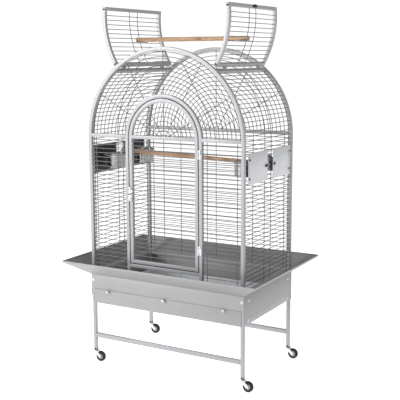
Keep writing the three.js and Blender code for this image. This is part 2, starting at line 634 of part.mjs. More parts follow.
// ---- Feeder doors and cups ---------------------------------------------
function buildFeeders() {
  const ringZs = [CUP_BOTTOM_Z + CUP_HEIGHT - 3 * RING_BAR, CUP_BOTTOM_Z + CUP_HEIGHT - 2 * RING_BAR];
  const profile = [
    [0, 0], [CUP_RADIUS - CUP_FOOT_ROUND, 0], [CUP_RADIUS, CUP_FOOT_ROUND],
    [CUP_RADIUS, CUP_HEIGHT - RING_BAR],
    [CUP_RADIUS + CUP_RIM, CUP_HEIGHT], [CUP_RADIUS - CUP_WALL, CUP_HEIGHT],
    [CUP_RADIUS - CUP_WALL, CUP_FOOT_ROUND + CUP_WALL], [CUP_RADIUS - CUP_FOOT_ROUND - CUP_WALL, CUP_WALL],
    [0, CUP_WALL],
  ].map(([r, z]) => new THREE.Vector2(r, z));
  for (const [sideName, side] of SIDES) {
    for (const { name, y } of FEEDERS) {
      const plateX = side * (HALF_W + GAP);
      const plate = bar([plateX, plateX + side * SHEET], around(y, FEEDER_WIDTH),
        [FEEDER_Z, FEEDER_Z + FEEDER_HEIGHT]);
      const cupX = side * (HALF_W - CUP_INSET);
      const hoopInner = CUP_RADIUS + HOOP_CLEARANCE;
      const hoop = upright(hoopInner + RING_BAR, ringZs, cupX, y, 24)
        .subtract(upright(hoopInner, [ringZs[0] - SINK, ringZs[1] + SINK], cupX, y, 24));
      const arm = bar([side * (HALF_W - CUP_INSET + hoopInner + RING_BAR / 2), plateX + side * SHEET / 2],
        around(y, CUP_ARM_WIDTH), ringZs);
      addPart(`feeder_door_${name}_${sideName}`, join([plate, hoop, arm]), POWDER_COAT);

      const cup = new THREE.LatheGeometry(profile, 16).rotateX(Math.PI / 2);
      addPart(`feeder_cup_${name}_${sideName}`, solidOf(cup.translate(cupX, y, CUP_BOTTOM_Z)), CHROME);
    }
  }
}

// ---- Casters ------------------------------------------------------------
function buildCasters() {
  const forkInner = WHEEL_WIDTH / 2 + FORK_CLEARANCE;
  const outline = [
    [CROWN_XS[0], CROWN_ZS[1]], [CROWN_XS[1], CROWN_ZS[1]], [CASTER_TRAIL + TOE_BEHIND, AXLE_RADIUS],
    [CASTER_TRAIL + AXLE_RADIUS, -TOE_DROP], [CASTER_TRAIL - TOE_BEFORE, -TOE_DROP],
    [CROWN_XS[0], SHOULDER_Z],
  ].map(([x, z]) => new THREE.Vector2(x, z + WHEEL_RADIUS));
  for (const [sideName, side] of SIDES) {
    for (const [endName, end] of ENDS) {
      const holder = new THREE.Group();
      holder.position.set(side * (HALF_W - TUBE / 2), end * (HALF_D - TUBE / 2), 0);
      const plates = [-1, 1].map((half) => slab(new THREE.Shape(outline),
        half > 0 ? [forkInner, forkInner + FORK_PLATE] : [-forkInner - FORK_PLATE, -forkInner]));
      const crown = bar(CROWN_XS, around(0, 2 * forkInner + FORK_PLATE),
        CROWN_ZS.map((z) => WHEEL_RADIUS + z));
      const stem = upright(STEM_RADIUS, [WHEEL_RADIUS + CROWN_ZS[1] - SINK, LEG_FOOT_Z - GAP], 0, 0);
      const axle = rodAlongY(AXLE_RADIUS, around(0, 2 * forkInner + FORK_PLATE), CASTER_TRAIL, WHEEL_RADIUS);
      addPart(`caster_fork_${endName}_${sideName}`, join([...plates, crown, stem, axle]), CHROME, holder);
      const wheel = ringPart([CASTER_TRAIL, WHEEL_RADIUS], [AXLE_RADIUS + GAP, WHEEL_RADIUS], [0, 360],
        around(0, WHEEL_WIDTH), WIRE_FACET);
      addPart(`caster_wheel_${endName}_${sideName}`, wheel, BLACK, holder);
      cage.add(holder);
    }
  }
}

buildStand();
buildBaseSheets();
buildDrawer();
buildFrames();
buildPanelWires();
buildSidePanels();
buildVaultSides();
buildFlaps();
buildDoor();
buildPerches();
buildFeeders();
buildCasters();

export default cage;
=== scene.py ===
"""Looks for a dome-top parrot cage on a wheeled stand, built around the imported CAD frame."""

from __future__ import annotations

import json
import logging
import math
from contextlib import contextmanager
from dataclasses import dataclass, field
from enum import Enum
from typing import Iterator, Sequence

import bpy
from mathutils import Matrix, Vector, noise

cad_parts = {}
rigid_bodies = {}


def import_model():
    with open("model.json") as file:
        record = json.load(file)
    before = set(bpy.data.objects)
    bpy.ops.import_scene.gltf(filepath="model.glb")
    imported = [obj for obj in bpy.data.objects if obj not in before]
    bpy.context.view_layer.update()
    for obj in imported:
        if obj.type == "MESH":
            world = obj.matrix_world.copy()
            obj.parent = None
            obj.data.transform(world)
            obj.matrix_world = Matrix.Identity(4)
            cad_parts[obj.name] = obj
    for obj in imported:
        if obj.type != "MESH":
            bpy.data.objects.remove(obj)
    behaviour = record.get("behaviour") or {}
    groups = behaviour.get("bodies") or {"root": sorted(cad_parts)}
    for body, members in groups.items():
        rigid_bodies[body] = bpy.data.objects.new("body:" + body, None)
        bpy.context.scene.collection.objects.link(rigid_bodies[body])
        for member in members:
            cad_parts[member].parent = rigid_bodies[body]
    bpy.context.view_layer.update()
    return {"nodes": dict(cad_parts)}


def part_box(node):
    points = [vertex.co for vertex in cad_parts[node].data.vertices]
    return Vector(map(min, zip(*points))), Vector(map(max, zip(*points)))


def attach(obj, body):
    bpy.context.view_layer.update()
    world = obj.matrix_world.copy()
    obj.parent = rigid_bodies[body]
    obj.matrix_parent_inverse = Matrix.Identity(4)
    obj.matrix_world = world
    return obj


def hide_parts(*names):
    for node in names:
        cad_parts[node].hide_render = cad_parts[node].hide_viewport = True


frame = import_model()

LOG = logging.getLogger("parrot_cage")
Point = tuple[float, float, float]
Piece = bpy.types.Object

WIRE_RADIUS = 0.0021
WIRE_PITCH = 0.025
WIRE_SIDES = 8
EDGE_ROUND = 0.0022
SHEET_ROUND = 0.0005
ARC_STEP = math.radians(3.0)
WIRE_CROSSING = 0.0027


class Side(Enum):
    """The left or right of the cage, seen from the front."""

    LEFT = -1
    RIGHT = 1

    @property
    def label(self) -> str:
        """The side's name as nodes and bodies spell it."""
        return self.name.lower()


class End(Enum):
    """The front or rear of the cage."""

    FRONT = -1
    REAR = 1

    @property
    def label(self) -> str:
        """The end's name as nodes and bodies spell it."""
        return self.name.lower()


# ---- Shader maths --------------------------------------------------------
class Signal:
    """A number that flows through a node tree, with arithmetic."""

    def __init__(self, bench: "ShaderBench", socket: bpy.types.NodeSocket) -> None:
        """Wraps an output socket.

        Args:
            bench: the material's node builder.
            socket: the output to wrap.
        """
        self.bench = bench
        self.socket = socket

    def _math(self, operation: str, first: object, second: object) -> "Signal":
        """Adds one Math node.

        Args:
            operation: the node's operation.
            first: a number or a Signal.
            second: a number or a Signal.

        Returns:
            The node's result.
        """
        node = self.bench.node("ShaderNodeMath", {"operation": operation}, {0: first, 1: second})
        return Signal(self.bench, node.outputs[0])

    def __add__(self, other: object) -> "Signal":
        """Adds."""
        return self._math("ADD", self, other)

    __radd__ = __add__

    def __sub__(self, other: object) -> "Signal":
        """Subtracts."""
        return self._math("SUBTRACT", self, other)

    def __rsub__(self, other: object) -> "Signal":
        """Subtracts from a number."""
        return self._math("SUBTRACT", other, self)

    def __mul__(self, other: object) -> "Signal":
        """Multiplies."""
        return self._math("MULTIPLY", self, other)

    __rmul__ = __mul__

    def __pow__(self, other: object) -> "Signal":
        """Raises to a power."""
        return self._math("POWER", self, other)


class ShaderBench:
    """Builds the nodes of one material."""

    def __init__(self, name: str) -> None:
        """Makes an empty material.

        Args:
            name: the material's name.
        """
        self.material = bpy.data.materials.new(name)
        self.material.use_nodes = True
        self.tree = self.material.node_tree
        self.tree.nodes.clear()
        self.shader = self.node("ShaderNodeBsdfPrincipled", {}, {})
        self.node("ShaderNodeOutputMaterial", {}, {"Surface": self.shader.outputs[0]})
        self.place = self.node("ShaderNodeTexCoord", {}, {}).outputs["Object"]

    def node(self, kind: str, settings: dict[str, object], inputs: dict[object, object]) -> bpy.types.Node:
        """Adds a node.

        Args:
            kind: the node's type.
            settings: its properties; "stops" sets a ramp's positions and colours.
            inputs: values or links for its sockets, by name or number.

        Returns:
            The new node.
        """
        node = self.tree.nodes.new(kind)
        for key, value in settings.items():
            if key == "stops":
                self._set_stops(node, value)
            else:
                setattr(node, key, value)
        for key, value in inputs.items():
            socket = node.inputs[key]
            if isinstance(value, Signal):
                self.tree.links.new(value.socket, socket)
            elif isinstance(value, bpy.types.NodeSocket):
                self.tree.links.new(value, socket)
            else:
                socket.default_value = value
        return node

    @staticmethod
    def _set_stops(node: bpy.types.Node, stops: Sequence[tuple[float, Sequence[float]]]) -> None:
        """Sets a colour ramp's stops.

        Args:
            node: the ramp node.
            stops: positions with their colours.
        """
        elements = node.color_ramp.elements
        while len(elements) < len(stops):
            elements.new(0.5)
        for element, (position, colour) in zip(elements, stops):
            element.position = position
            element.color = (*colour, 1.0)

    def stretched(self, scale: Point) -> bpy.types.NodeSocket:
        """The object's coordinates, scaled on each axis."""
        node = self.node("ShaderNodeMapping", {}, {"Vector": self.place, "Scale": scale})
        return node.outputs[0]

    def noise(self, scale: float, detail: float = 3.0, where: object = None, warp: float = 0.0) -> Signal:
        """A noise value from 0 to 1.

        Args:
            scale: the pattern's frequency per metre.
            detail: its octaves.
            where: coordinates other than the object's own.
            warp: the noise's distortion.

        Returns:
            The noise.
        """
        inputs = {"Vector": where or self.place, "Scale": scale, "Detail": detail, "Distortion": warp}
        return Signal(self, self.node("ShaderNodeTexNoise", {}, inputs).outputs[0])

    def blend(self, share: object, first: Sequence[float], second: object) -> bpy.types.NodeSocket:
        """Mixes two colours.

        Args:
            share: how much of the second colour.
            first: a colour or a socket.
            second: a colour or a socket.

        Returns:
            The mixed colour.
        """
        colours = [(*c, 1.0) if isinstance(c, tuple) else c for c in (first, second)]
        node = self.node("ShaderNodeMix", {"data_type": "RGBA"}, {0: share, 6: colours[0], 7: colours[1]})
        return node.outputs[2]

    def bump(self, height: Signal, distance: float, strength: float = 1.0) -> None:
        """Feeds a bump into the shader's normal.

        Args:
            height: the surface height, 0 to 1.
            distance: metres that a height of 1 stands for.
            strength: the effect's share.
        """
        inputs = {"Height": height, "Distance": distance, "Strength": strength}
        self.feed("Normal", self.node("ShaderNodeBump", {}, inputs).outputs[0])

    def feed(self, name: str, value: object) -> None:
        """Sets or links one of the shader's own sockets."""
        socket = self.shader.inputs[name]
        if isinstance(value, Signal):
            self.tree.links.new(value.socket, socket)
        elif isinstance(value, bpy.types.NodeSocket):
            self.tree.links.new(value, socket)
        else:
            socket.default_value = value


# ---- Finishes ------------------------------------------------------------
@dataclass(frozen=True)
class PowderCoat:
    """Baked powder coat with a faint orange peel and a fine silver fleck."""

    slot: str
    light: tuple[float, float, float]
    dark: tuple[float, float, float]
    roughness: float = 0.42
    peel: float = 0.00012
    metal: float = 0.12

    def build(self) -> bpy.types.Material:
        """Makes the material."""
        bench = ShaderBench(self.slot)
        fleck = bench.noise(2600.0, 1.0)
        cloud = bench.noise(7.0, 4.0)
        share = fleck * 0.35 + cloud * 0.65
        bench.feed("Base Color", bench.blend(share, self.light, self.dark))
        bench.feed("Roughness", bench.noise(60.0, 3.0) * 0.14 + (self.roughness - 0.07))
        bench.feed("Metallic", self.metal)
        bench.feed("Coat Roughness", 0.25)
        bench.feed("Coat Weight", 0.08)
        bench.bump(bench.noise(700.0, 2.0), self.peel, 0.5)
        return bench.material


@dataclass(frozen=True)
class PolishedMetal:
    """Plated or drawn metal with fine brushing and faint smudges."""

    slot: str
    colour: tuple[float, float, float]
    roughness: float
    brushing: Point

    def build(self) -> bpy.types.Material:
        """Makes the material."""
        bench = ShaderBench(self.slot)
        grain = bench.noise(1.0, 2.0, bench.stretched(self.brushing))
        smudge = bench.noise(35.0, 4.0, warp=0.6)
        dull = tuple(c * 0.82 for c in self.colour)
        bench.feed("Base Color", bench.blend(smudge, self.colour, dull))
        bench.feed("Metallic", 1.0)
        bench.feed("Roughness", grain * 0.10 + smudge * 0.10 + self.roughness)
        bench.bump(grain, 0.00004, 0.4)
        return bench.material


@dataclass(frozen=True)
class NaturalWood:
    """Sanded branch wood with long grain, growth bands and knots."""

    slot: str = "perch_wood"

    def build(self) -> bpy.types.Material:
        """Makes the material."""
        bench = ShaderBench(self.slot)
        grain = bench.noise(1.0, 6.0, bench.stretched((9.0, 190.0, 190.0)), warp=0.5)
        fibre = bench.noise(1.0, 3.0, bench.stretched((40.0, 1400.0, 1400.0)))
        tone = bench.node(
            "ShaderNodeValToRGB",
            {"stops": [(0.30, (0.31, 0.165, 0.08)), (0.48, (0.50, 0.31, 0.18)), (0.66, (0.60, 0.41, 0.27))]},
            {0: grain * 0.8 + fibre * 0.2},
        ).outputs[0]
        knots = bench.node(
            "ShaderNodeTexVoronoi", {"feature": "F1"},
            {"Vector": bench.stretched((7.0, 22.0, 22.0)), "Scale": 1.0, "Randomness": 1.0},
        ).outputs["Distance"]
        mark = bench.node(
            "ShaderNodeMapRange", {"interpolation_type": "SMOOTHSTEP"},
            {"Value": knots, "From Min": 0.10, "From Max": 0.26, "To Min": 0.8, "To Max": 0.0},
        ).outputs[0]
        bench.feed("Base Color", bench.blend(mark, tone, (0.23, 0.12, 0.05)))
        bench.feed("Roughness", fibre * 0.2 + 0.55)
        bench.bump(grain * 0.6 + fibre * 0.4, 0.0012, 0.6)
        return bench.material


@dataclass(frozen=True)
class MouldedBlack:
    """Black rubber or plastic with a fine moulded grain and light scuffs."""

    slot: str
    colour: tuple[float, float, float]
    roughness: float

    def build(self) -> bpy.types.Material:
        """Makes the material."""
        bench = ShaderBench(self.slot)
        scuff = bench.noise(120.0, 5.0, warp=1.0)
        worn = tuple(c * 2.0 + 0.006 for c in self.colour)
        bench.feed("Base Color", bench.blend(scuff ** 4.0, self.colour, worn))
        bench.feed("Roughness", scuff * 0.25 + self.roughness)
        bench.bump(bench.noise(1800.0, 2.0), 0.00015, 0.5)
        return bench.material


class Finishes:
    """The cage's finishes, one material for each."""

    def __init__(self) -> None:
        """Builds every material."""
        coat = PowderCoat("powder_coat", (0.400, 0.405, 0.418), (0.350, 0.354, 0.366))
        wire = PowderCoat("wire_coat", (0.175, 0.177, 0.184), (0.130, 0.132, 0.138), 0.50)
        sheet = PowderCoat("sheet_coat", (0.345, 0.344, 0.349), (0.300, 0.298, 0.301), 0.52, 0.00018)
        # Painted light: the grate and tray coat is far paler than the powder coat, to offset the shade that
        # the wire walls cast into the tray.
        grate = PowderCoat("grate_coat", (0.84, 0.86, 0.88), (0.76, 0.78, 0.80), 0.40)
        self.grate = grate.build()
        plate = PowderCoat("plate_coat", (0.64, 0.65, 0.67), (0.56, 0.57, 0.59), 0.30)
        self.coat = coat.build()
        self.plate = plate.build()
        self.wire = wire.build()
        self.sheet = sheet.build()
        self.wood = NaturalWood().build()
        self.chrome = PolishedMetal("chrome", (0.80, 0.81, 0.84), 0.06, (300.0, 300.0, 300.0)).build()
        self.stainless = PolishedMetal("stainless", (0.40, 0.405, 0.40), 0.06, (60.0, 60.0, 2600.0)).build()
        # Painted shade: a near-black material that stands for the shaded inner face of the feeder plates.
        self.lining = MouldedBlack("feeder_lining", (0.012, 0.014, 0.013), 0.35).build()
        self.black = MouldedBlack("black_plastic", (0.012, 0.012, 0.014), 0.45).build()
        self.rubber = MouldedBlack("wheel_rubber", (0.004, 0.004, 0.005), 0.55).build()
        self.hub = PowderCoat("wheel_hub", (0.42, 0.42, 0.44), (0.36, 0.36, 0.38), 0.5).build()


# ---- Bench tools ---------------------------------------------------------
def deselect() -> None:
    """Leaves edit mode and deselects everything."""
    if bpy.context.object and bpy.context.object.mode != "OBJECT":
        bpy.ops.object.mode_set(mode="OBJECT")
    bpy.ops.object.select_all(action="DESELECT")


def choose(pieces: Sequence[Piece]) -> None:
    """Selects the pieces alone, the first one active."""
    deselect()
    for piece in pieces:
        piece.select_set(True)
    bpy.context.view_layer.objects.active = pieces[0]


@contextmanager
def editing(piece: Piece) -> Iterator[None]:
    """Opens a piece in edit mode with all of it selected.

    Args:
        piece: the mesh to edit.
    """
    choose([piece])
    bpy.ops.object.mode_set(mode="EDIT")
    bpy.ops.mesh.select_all(action="SELECT")
    try:
        yield
    finally:
        bpy.ops.object.mode_set(mode="OBJECT")


def settle(piece: Piece, name: str) -> Piece:
    """Names a piece and moves its place into its mesh.

    Args:
        piece: the object just made.
        name: its name.

    Returns:
        The same piece.
    """
    piece.name = name
    piece.data.name = name
    choose([piece])
    bpy.ops.object.transform_apply(location=True, rotation=True, scale=True)
    return piece


def apply_modifier(piece: Piece, kind: str, **settings: object) -> Piece:
    """Adds a modifier and applies it.

    Args:
        piece: the mesh.
        kind: the modifier's type.
        settings: its properties.

    Returns:
        The same piece.
    """
    choose([piece])
    modifier = piece.modifiers.new(kind.lower(), kind)
    for key, value in settings.items():
        setattr(modifier, key, value)
    bpy.ops.object.modifier_apply(modifier=modifier.name)
    return piece


def round_edges(piece: Piece, width: float, segments: int = 2) -> Piece:
    """Rounds a piece's sharp edges and shades it smooth.

    Args:
        piece: the mesh.
        width: the width of the round.
        segments: faces across it.

    Returns:
        The same piece.
    """
    apply_modifier(piece, "BEVEL", width=width, segments=segments, limit_method="ANGLE",
                   angle_limit=math.radians(28), harden_normals=False)
    return smooth(piece)


def smooth(piece: Piece, angle: float = 40.0) -> Piece:
    """Shades a piece smooth up to an angle in degrees."""
    choose([piece])
    bpy.ops.object.shade_smooth_by_angle(angle=math.radians(angle))
    return piece


def block(name: str, low: Sequence[float], high: Sequence[float], edge: float = EDGE_ROUND) -> Piece:
    """A bar or plate between two corners, its edges rounded.

    Args:
        name: the piece's name.
        low: one corner.
        high: the opposite corner.
        edge: the width of its rounded edges.

    Returns:
        The piece.
    """
    a, b = Vector(low), Vector(high)
    deselect()
    bpy.ops.mesh.primitive_cube_add(size=1.0, location=(a + b) / 2)
    piece = bpy.context.object
    piece.scale = [abs(v) for v in (b - a)]
    settle(piece, name)
    limit = min(abs(v) for v in (b - a)) * 0.45
    return round_edges(piece, min(edge, limit), 3 if edge > 0.001 else 2)


def rod(name: str, start: Sequence[float], end: Sequence[float], radius: float,
        sides: int = WIRE_SIDES) -> Piece:
    """A straight round rod.

    Args:
        name: the piece's name.
        start: the middle of one end.
        end: the middle of the other.
        radius: the rod's radius.
        sides: faces around it.

    Returns:
        The piece.
    """
    a, b = Vector(start), Vector(end)
    deselect()
    bpy.ops.mesh.primitive_cylinder_add(vertices=sides, radius=radius, depth=(b - a).length,
                                        location=(a + b) / 2)
    piece = bpy.context.object
    piece.rotation_euler = (b - a).to_track_quat("Z", "Y").to_euler()
    return smooth(settle(piece, name))


def repeat(piece: Piece, count: int, step: Sequence[float]) -> Piece:
    """Repeats a piece in a row.

    Args:
        piece: the first of the row.
        count: how many there are.
        step: from one to the next.

    Returns:
        The same piece, now the whole row.
    """
    if count < 2:
        return piece
    return apply_modifier(piece, "ARRAY", count=count, use_relative_offset=False,
                          use_constant_offset=True, constant_offset_displace=step)


def weld(name: str, pieces: Sequence[Piece]) -> Piece:
    """Joins pieces into one.

    Args:
        name: the joined piece's name.
        pieces: what it is made of.

    Returns:
        The joined piece.
    """
    choose(list(pieces))
    if len(pieces) > 1:
        bpy.ops.object.join()
    pieces[0].name = name
    pieces[0].data.name = name
    return pieces[0]


def tidy_faces(piece: Piece) -> Piece:
    """Merges doubled corners and turns every face outwards."""
    with editing(piece):
        bpy.ops.mesh.remove_doubles(threshold=0.00001)
        bpy.ops.mesh.normals_make_consistent(inside=False)
    return piece


def moved(piece: Piece, matrix: Matrix) -> Piece:
    """Moves a finished piece by a matrix and keeps the place in its mesh."""
    piece.matrix_world = matrix @ piece.matrix_world
    return settle(piece, piece.name)


def about(point: Sequence[float], axis: str, angle: float) -> Matrix:
    """A turn about a point, in radians."""
    place = Matrix.Translation(Vector(point))
    return place @ Matrix.Rotation(angle, 4, axis) @ place.inverted()


def turned(name: str, profile: Sequence[tuple[float, float]], centre: Point, steps: int = 40,
           axis: Point = (0.0, 0.0, 1.0)) -> Piece:
    """A round piece spun from a profile about an upright line.

    Args:
        name: the piece's name.
        profile: radius and height of each corner, from the axis out and back to it.
        centre: where radius and height are zero.
        steps: faces around it.
        axis: the direction of the axis in the finished piece.

    Returns:
        The piece.
    """
    deselect()
    bpy.ops.mesh.primitive_circle_add(vertices=len(profile), radius=1.0)
    piece = bpy.context.object
    for vertex, (radius, height) in zip(piece.data.vertices, profile):
        vertex.co = (radius, 0.0, height)
    with editing(piece):
        bpy.ops.mesh.spin(steps=steps, angle=math.tau, center=(0, 0, 0), axis=(0, 0, 1))
    tidy_faces(piece)
    piece.rotation_euler = Vector(axis).to_track_quat("Z", "Y").to_euler()
    piece.location = centre
    return smooth(settle(piece, name))


class SquareRun:
    """One length of rounded square tube, grown from a plate by straight pulls and bends."""

    def __init__(self, name: str, start: Sequence[float], size: tuple[float, float], tilt: float = 0.0,
                 rounding: float = EDGE_ROUND) -> None:
        """Places the tube's first end.

        Args:
            name: the piece's name.
            start: the middle of the end.
            size: the tube's two sides, along X and Y before the tilt.
            tilt: the turn of the end about Y, in radians.
            rounding: the radius of its four long edges.
        """
        deselect()
        bpy.ops.mesh.primitive_plane_add(size=1.0, location=start, rotation=(0.0, tilt, 0.0))
        self.piece = bpy.context.object
        self.piece.scale = (size[0], size[1], 1.0)
        settle(self.piece, name)
        bpy.ops.object.mode_set(mode="EDIT")
        bpy.ops.mesh.select_all(action="SELECT")
        bpy.ops.mesh.bevel(offset=rounding, segments=3, affect="VERTICES")
        bpy.ops.mesh.select_all(action="SELECT")

    def pull(self, step: Sequence[float]) -> "SquareRun":
        """Grows the tube straight by a step."""
        bpy.ops.mesh.extrude_region_move(TRANSFORM_OT_translate={"value": tuple(step)})
        return self

    def bend(self, centre: Sequence[float], angle: float) -> "SquareRun":
        """Grows the tube round a centre in the XZ plane, from +X towards +Z."""
        steps = max(4, round(abs(angle) / ARC_STEP))
        bpy.ops.mesh.spin(steps=steps, angle=angle, center=tuple(centre), axis=(0.0, 1.0, 0.0))
        return self

    def finish(self) -> Piece:
        """Closes the tube.

        Returns:
            The piece, smooth on its rounds.
        """
        bpy.ops.mesh.select_all(action="SELECT")
        bpy.ops.mesh.normals_make_consistent(inside=False)
        bpy.ops.object.mode_set(mode="OBJECT")
        return smooth(self.piece)


def hoop(name: str, centre: Sequence[float], radius: float, span: tuple[float, float],
         thickness: float = WIRE_RADIUS) -> Piece:
    """A round wire bent along part of a circle in the XZ plane.

    Args:
        name: the piece's name.
        centre: the circle's middle.
        radius: the circle's radius.
        span: the first and last angle from +X towards +Z, in radians.
        thickness: the wire's radius.

    Returns:
        The piece.
    """
    a0, a1 = span
    place = (centre[0] + radius * math.cos(a0), centre[1], centre[2] + radius * math.sin(a0))
    deselect()
    bpy.ops.mesh.primitive_circle_add(vertices=WIRE_SIDES, radius=thickness, fill_type="NGON",
                                      location=place, rotation=(0.0, -a0, 0.0))
    piece = settle(bpy.context.object, name)
    steps = max(3, round(abs(a1 - a0) / math.radians(4.0)))
    with editing(piece):
        bpy.ops.mesh.spin(steps=steps, angle=a1 - a0, center=tuple(centre), axis=(0.0, 1.0, 0.0))
        bpy.ops.mesh.select_all(action="SELECT")
        bpy.ops.mesh.normals_make_consistent(inside=False)
    return smooth(piece)


def dress(piece: Piece, body: str, slot: str, finish: bpy.types.Material, *nodes: str) -> Piece:
    """Gives a piece its finish, its body and the CAD nodes it stands for.

    Args:
        piece: the finished mesh.
        body: the CAD body it moves with.
        slot: the record's material slot; not used.
        finish: the main material.
        nodes: the CAD nodes it replaces.

    Returns:
        The same piece.
    """
    if not piece.data.materials:
        piece.data.materials.append(finish)
    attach(piece, body)
    if nodes:
        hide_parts(*nodes)
    LOG.info("%s rides on %s, %d faces", piece.name, body, len(piece.data.polygons))
    return piece


def copied(piece: Piece, name: str, matrix: Matrix) -> Piece:
    """Copies a finished piece, with its own mesh, to another place.

    Args:
        piece: the piece to copy.
        name: the copy's name.
        matrix: the move from the piece to its copy.

    Returns:
        The copy.
    """
    choose([piece])
    bpy.ops.object.duplicate(linked=False)
    copy = bpy.context.object
    copy.matrix_world = matrix
    return settle(copy, name)


def rounded_copy(node: str, name: str, edge: float, segments: int = 2) -> Piece:
    """A copy of a CAD node's shape with its sharp edges rounded.

    Args:
        node: the CAD node.
        name: the new piece's name.
        edge: the width of the rounds.
        segments: faces across a round.

    Returns:
        The piece.
    """
    choose([frame["nodes"][node]])
    bpy.ops.object.duplicate(linked=False)
    piece = bpy.context.object
    bpy.ops.object.parent_clear(type="CLEAR_KEEP_TRANSFORM")
    piece.data.materials.clear()
    settle(piece, name)
    tidy_faces(piece)
    with editing(piece):
        bpy.ops.mesh.dissolve_limited(angle_limit=math.radians(0.5))
    return round_edges(piece, edge, segments)


def row_count(length: float, pitch: float) -> int:
    """How many wires stand strictly inside a length at a pitch."""
    return max(0, math.ceil(length / pitch - 0.001) - 1)


def bolt_head(name: str, radius: float, axis: Point) -> Piece:
    """A domed bolt head on a thin washer, at the origin.

    Args:
        name: the piece's name.
        radius: the dome's radius.
        axis: the way that it faces.

    Returns:
        The piece.
    """
    profile = [(0.00001, 0.0), (radius * 1.3, 0.0), (radius * 1.3, radius * 0.16), (radius, radius * 0.18),
               (radius * 0.93, radius * 0.42), (radius * 0.6, radius * 0.62), (0.00001, radius * 0.7)]
    return turned(name, profile, (0.0, 0.0, 0.0), 20, axis)


# ---- Sizes ---------------------------------------------------------------
@dataclass(frozen=True)
class CageSizes:
    """The sizes that several sub-assemblies share, taken from the CAD boxes."""

    half_w: float
    half_d: float
    tube: float
    cage_z: float
    spring_z: float
    crossbar_top: float
    door_half: float
    door_z: float
    jamb_half: float
    side_uprights: tuple[float, ...] = (-0.273, -0.040, 0.040, 0.273)

    @classmethod
    def measured(cls) -> "CageSizes":
        """Reads the sizes from the frame."""
        low, high = (Vector(v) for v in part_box("front_frame"))
        door_low, door_high = (Vector(v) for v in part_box("door_frame"))
        tube = high.y - low.y
        bar_top = Vector(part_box("door_wires")[1]).z + 0.0003 + tube
        return cls(high.x, -low.y, tube, low.z, high.z - high.x, bar_top,
                   door_high.x, door_low.z, door_high.x + 0.005)

    @property
    def inner_y(self) -> float:
        """Half the depth between the front and rear tubes."""
        return self.half_d - self.tube

    @property
    def wire_r(self) -> float:
        """The radius at which the vault's wires lie."""
        return self.half_w - self.tube / 2

    @property
    def hub(self) -> Point:
        """The middle of the arches."""
        return (0.0, 0.0, self.spring_z)

    def turn_of(self, angle: float) -> Matrix:
        """The turn that carries +X towards +Z about the arch's middle, by an angle in radians."""
        return about(self.hub, "Y", -angle)


# ---- Stand ---------------------------------------------------------------
@dataclass
class Stand:
    """Four legs, the rails between them and the corner bolts."""

    sizes: CageSizes
    finishes: Finishes
    bolt_radius: float = 0.0055
    bolt_drop: float = 0.034

    def build(self) -> None:
        """Builds and dresses the stand."""
        for side in Side:
            for end in End:
                self._leg(side, end)
            node = f"side_rail_{side.label}"
            rail = block(f"rail_{side.label}", *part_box(node), edge=0.003)
            dress(rail, "cage", "powder_coat", self.finishes.coat, node)
        for end in End:
            node = f"lower_rail_{end.label}"
            rail = block(f"lower_bar_{end.label}", *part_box(node), edge=0.003)
            dress(rail, "cage", "powder_coat", self.finishes.coat, node)
        self._bolts()

    def _leg(self, side: Side, end: End) -> None:
        """Builds one leg with the cap at its foot.

        Args:
            side: the leg's side.
            end: the leg's end.
        """
        node = f"leg_{end.label}_{side.label}"
        low, high = (Vector(v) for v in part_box(node))
        leg = block(f"post_{end.label}_{side.label}", low, high, 0.0028)
        dress(leg, "cage", "powder_coat", self.finishes.coat, node)
        middle = (low + high) / 2
        cap = turned(f"foot_cap_{end.label}_{side.label}",
                     [(0.00001, 0.0), (0.0105, 0.0), (0.0112, 0.0015), (0.0112, 0.010), (0.0100, 0.0125),
                      (0.00001, 0.0125)], (middle.x, middle.y, low.z - 0.0002), 24)
        dress(cap, "cage", "black_plastic", self.finishes.black)

    def _bolts(self) -> None:
        """Builds the bolts at the corners of the base."""
        height = self.sizes.cage_z - self.bolt_drop
        first = bolt_head("bolt_seed", self.bolt_radius, (0.0, -1.0, 0.0))
        heads = []
        for side in Side:
            for end in End:
                turn = Matrix.Rotation(math.pi if end is End.REAR else 0.0, 4, "Z")
                place = (side.value * (self.sizes.half_w - 0.010), end.value * (self.sizes.half_d + 0.0022),
                         height)
                heads.append(copied(first, "bolt", Matrix.Translation(place) @ turn))
        side_first = moved(first, Matrix.Rotation(math.radians(90), 4, "Z"))
        for end in End:
            for height_now in (0.383, height):
                place = (self.sizes.half_w + (0.0 if height_now < 0.4 else 0.0022), end.value * 0.255,
                         height_now)
                heads.append(copied(side_first, "bolt", Matrix.Translation(place)))
                flip = Matrix.Translation((-place[0], place[1], place[2])) @ Matrix.Rotation(math.pi, 4, "Z")
                heads.append(copied(side_first, "bolt", flip))
        bpy.data.objects.remove(side_first)
        dress(weld("corner_bolts", heads), "cage", "chrome", self.finishes.chrome)


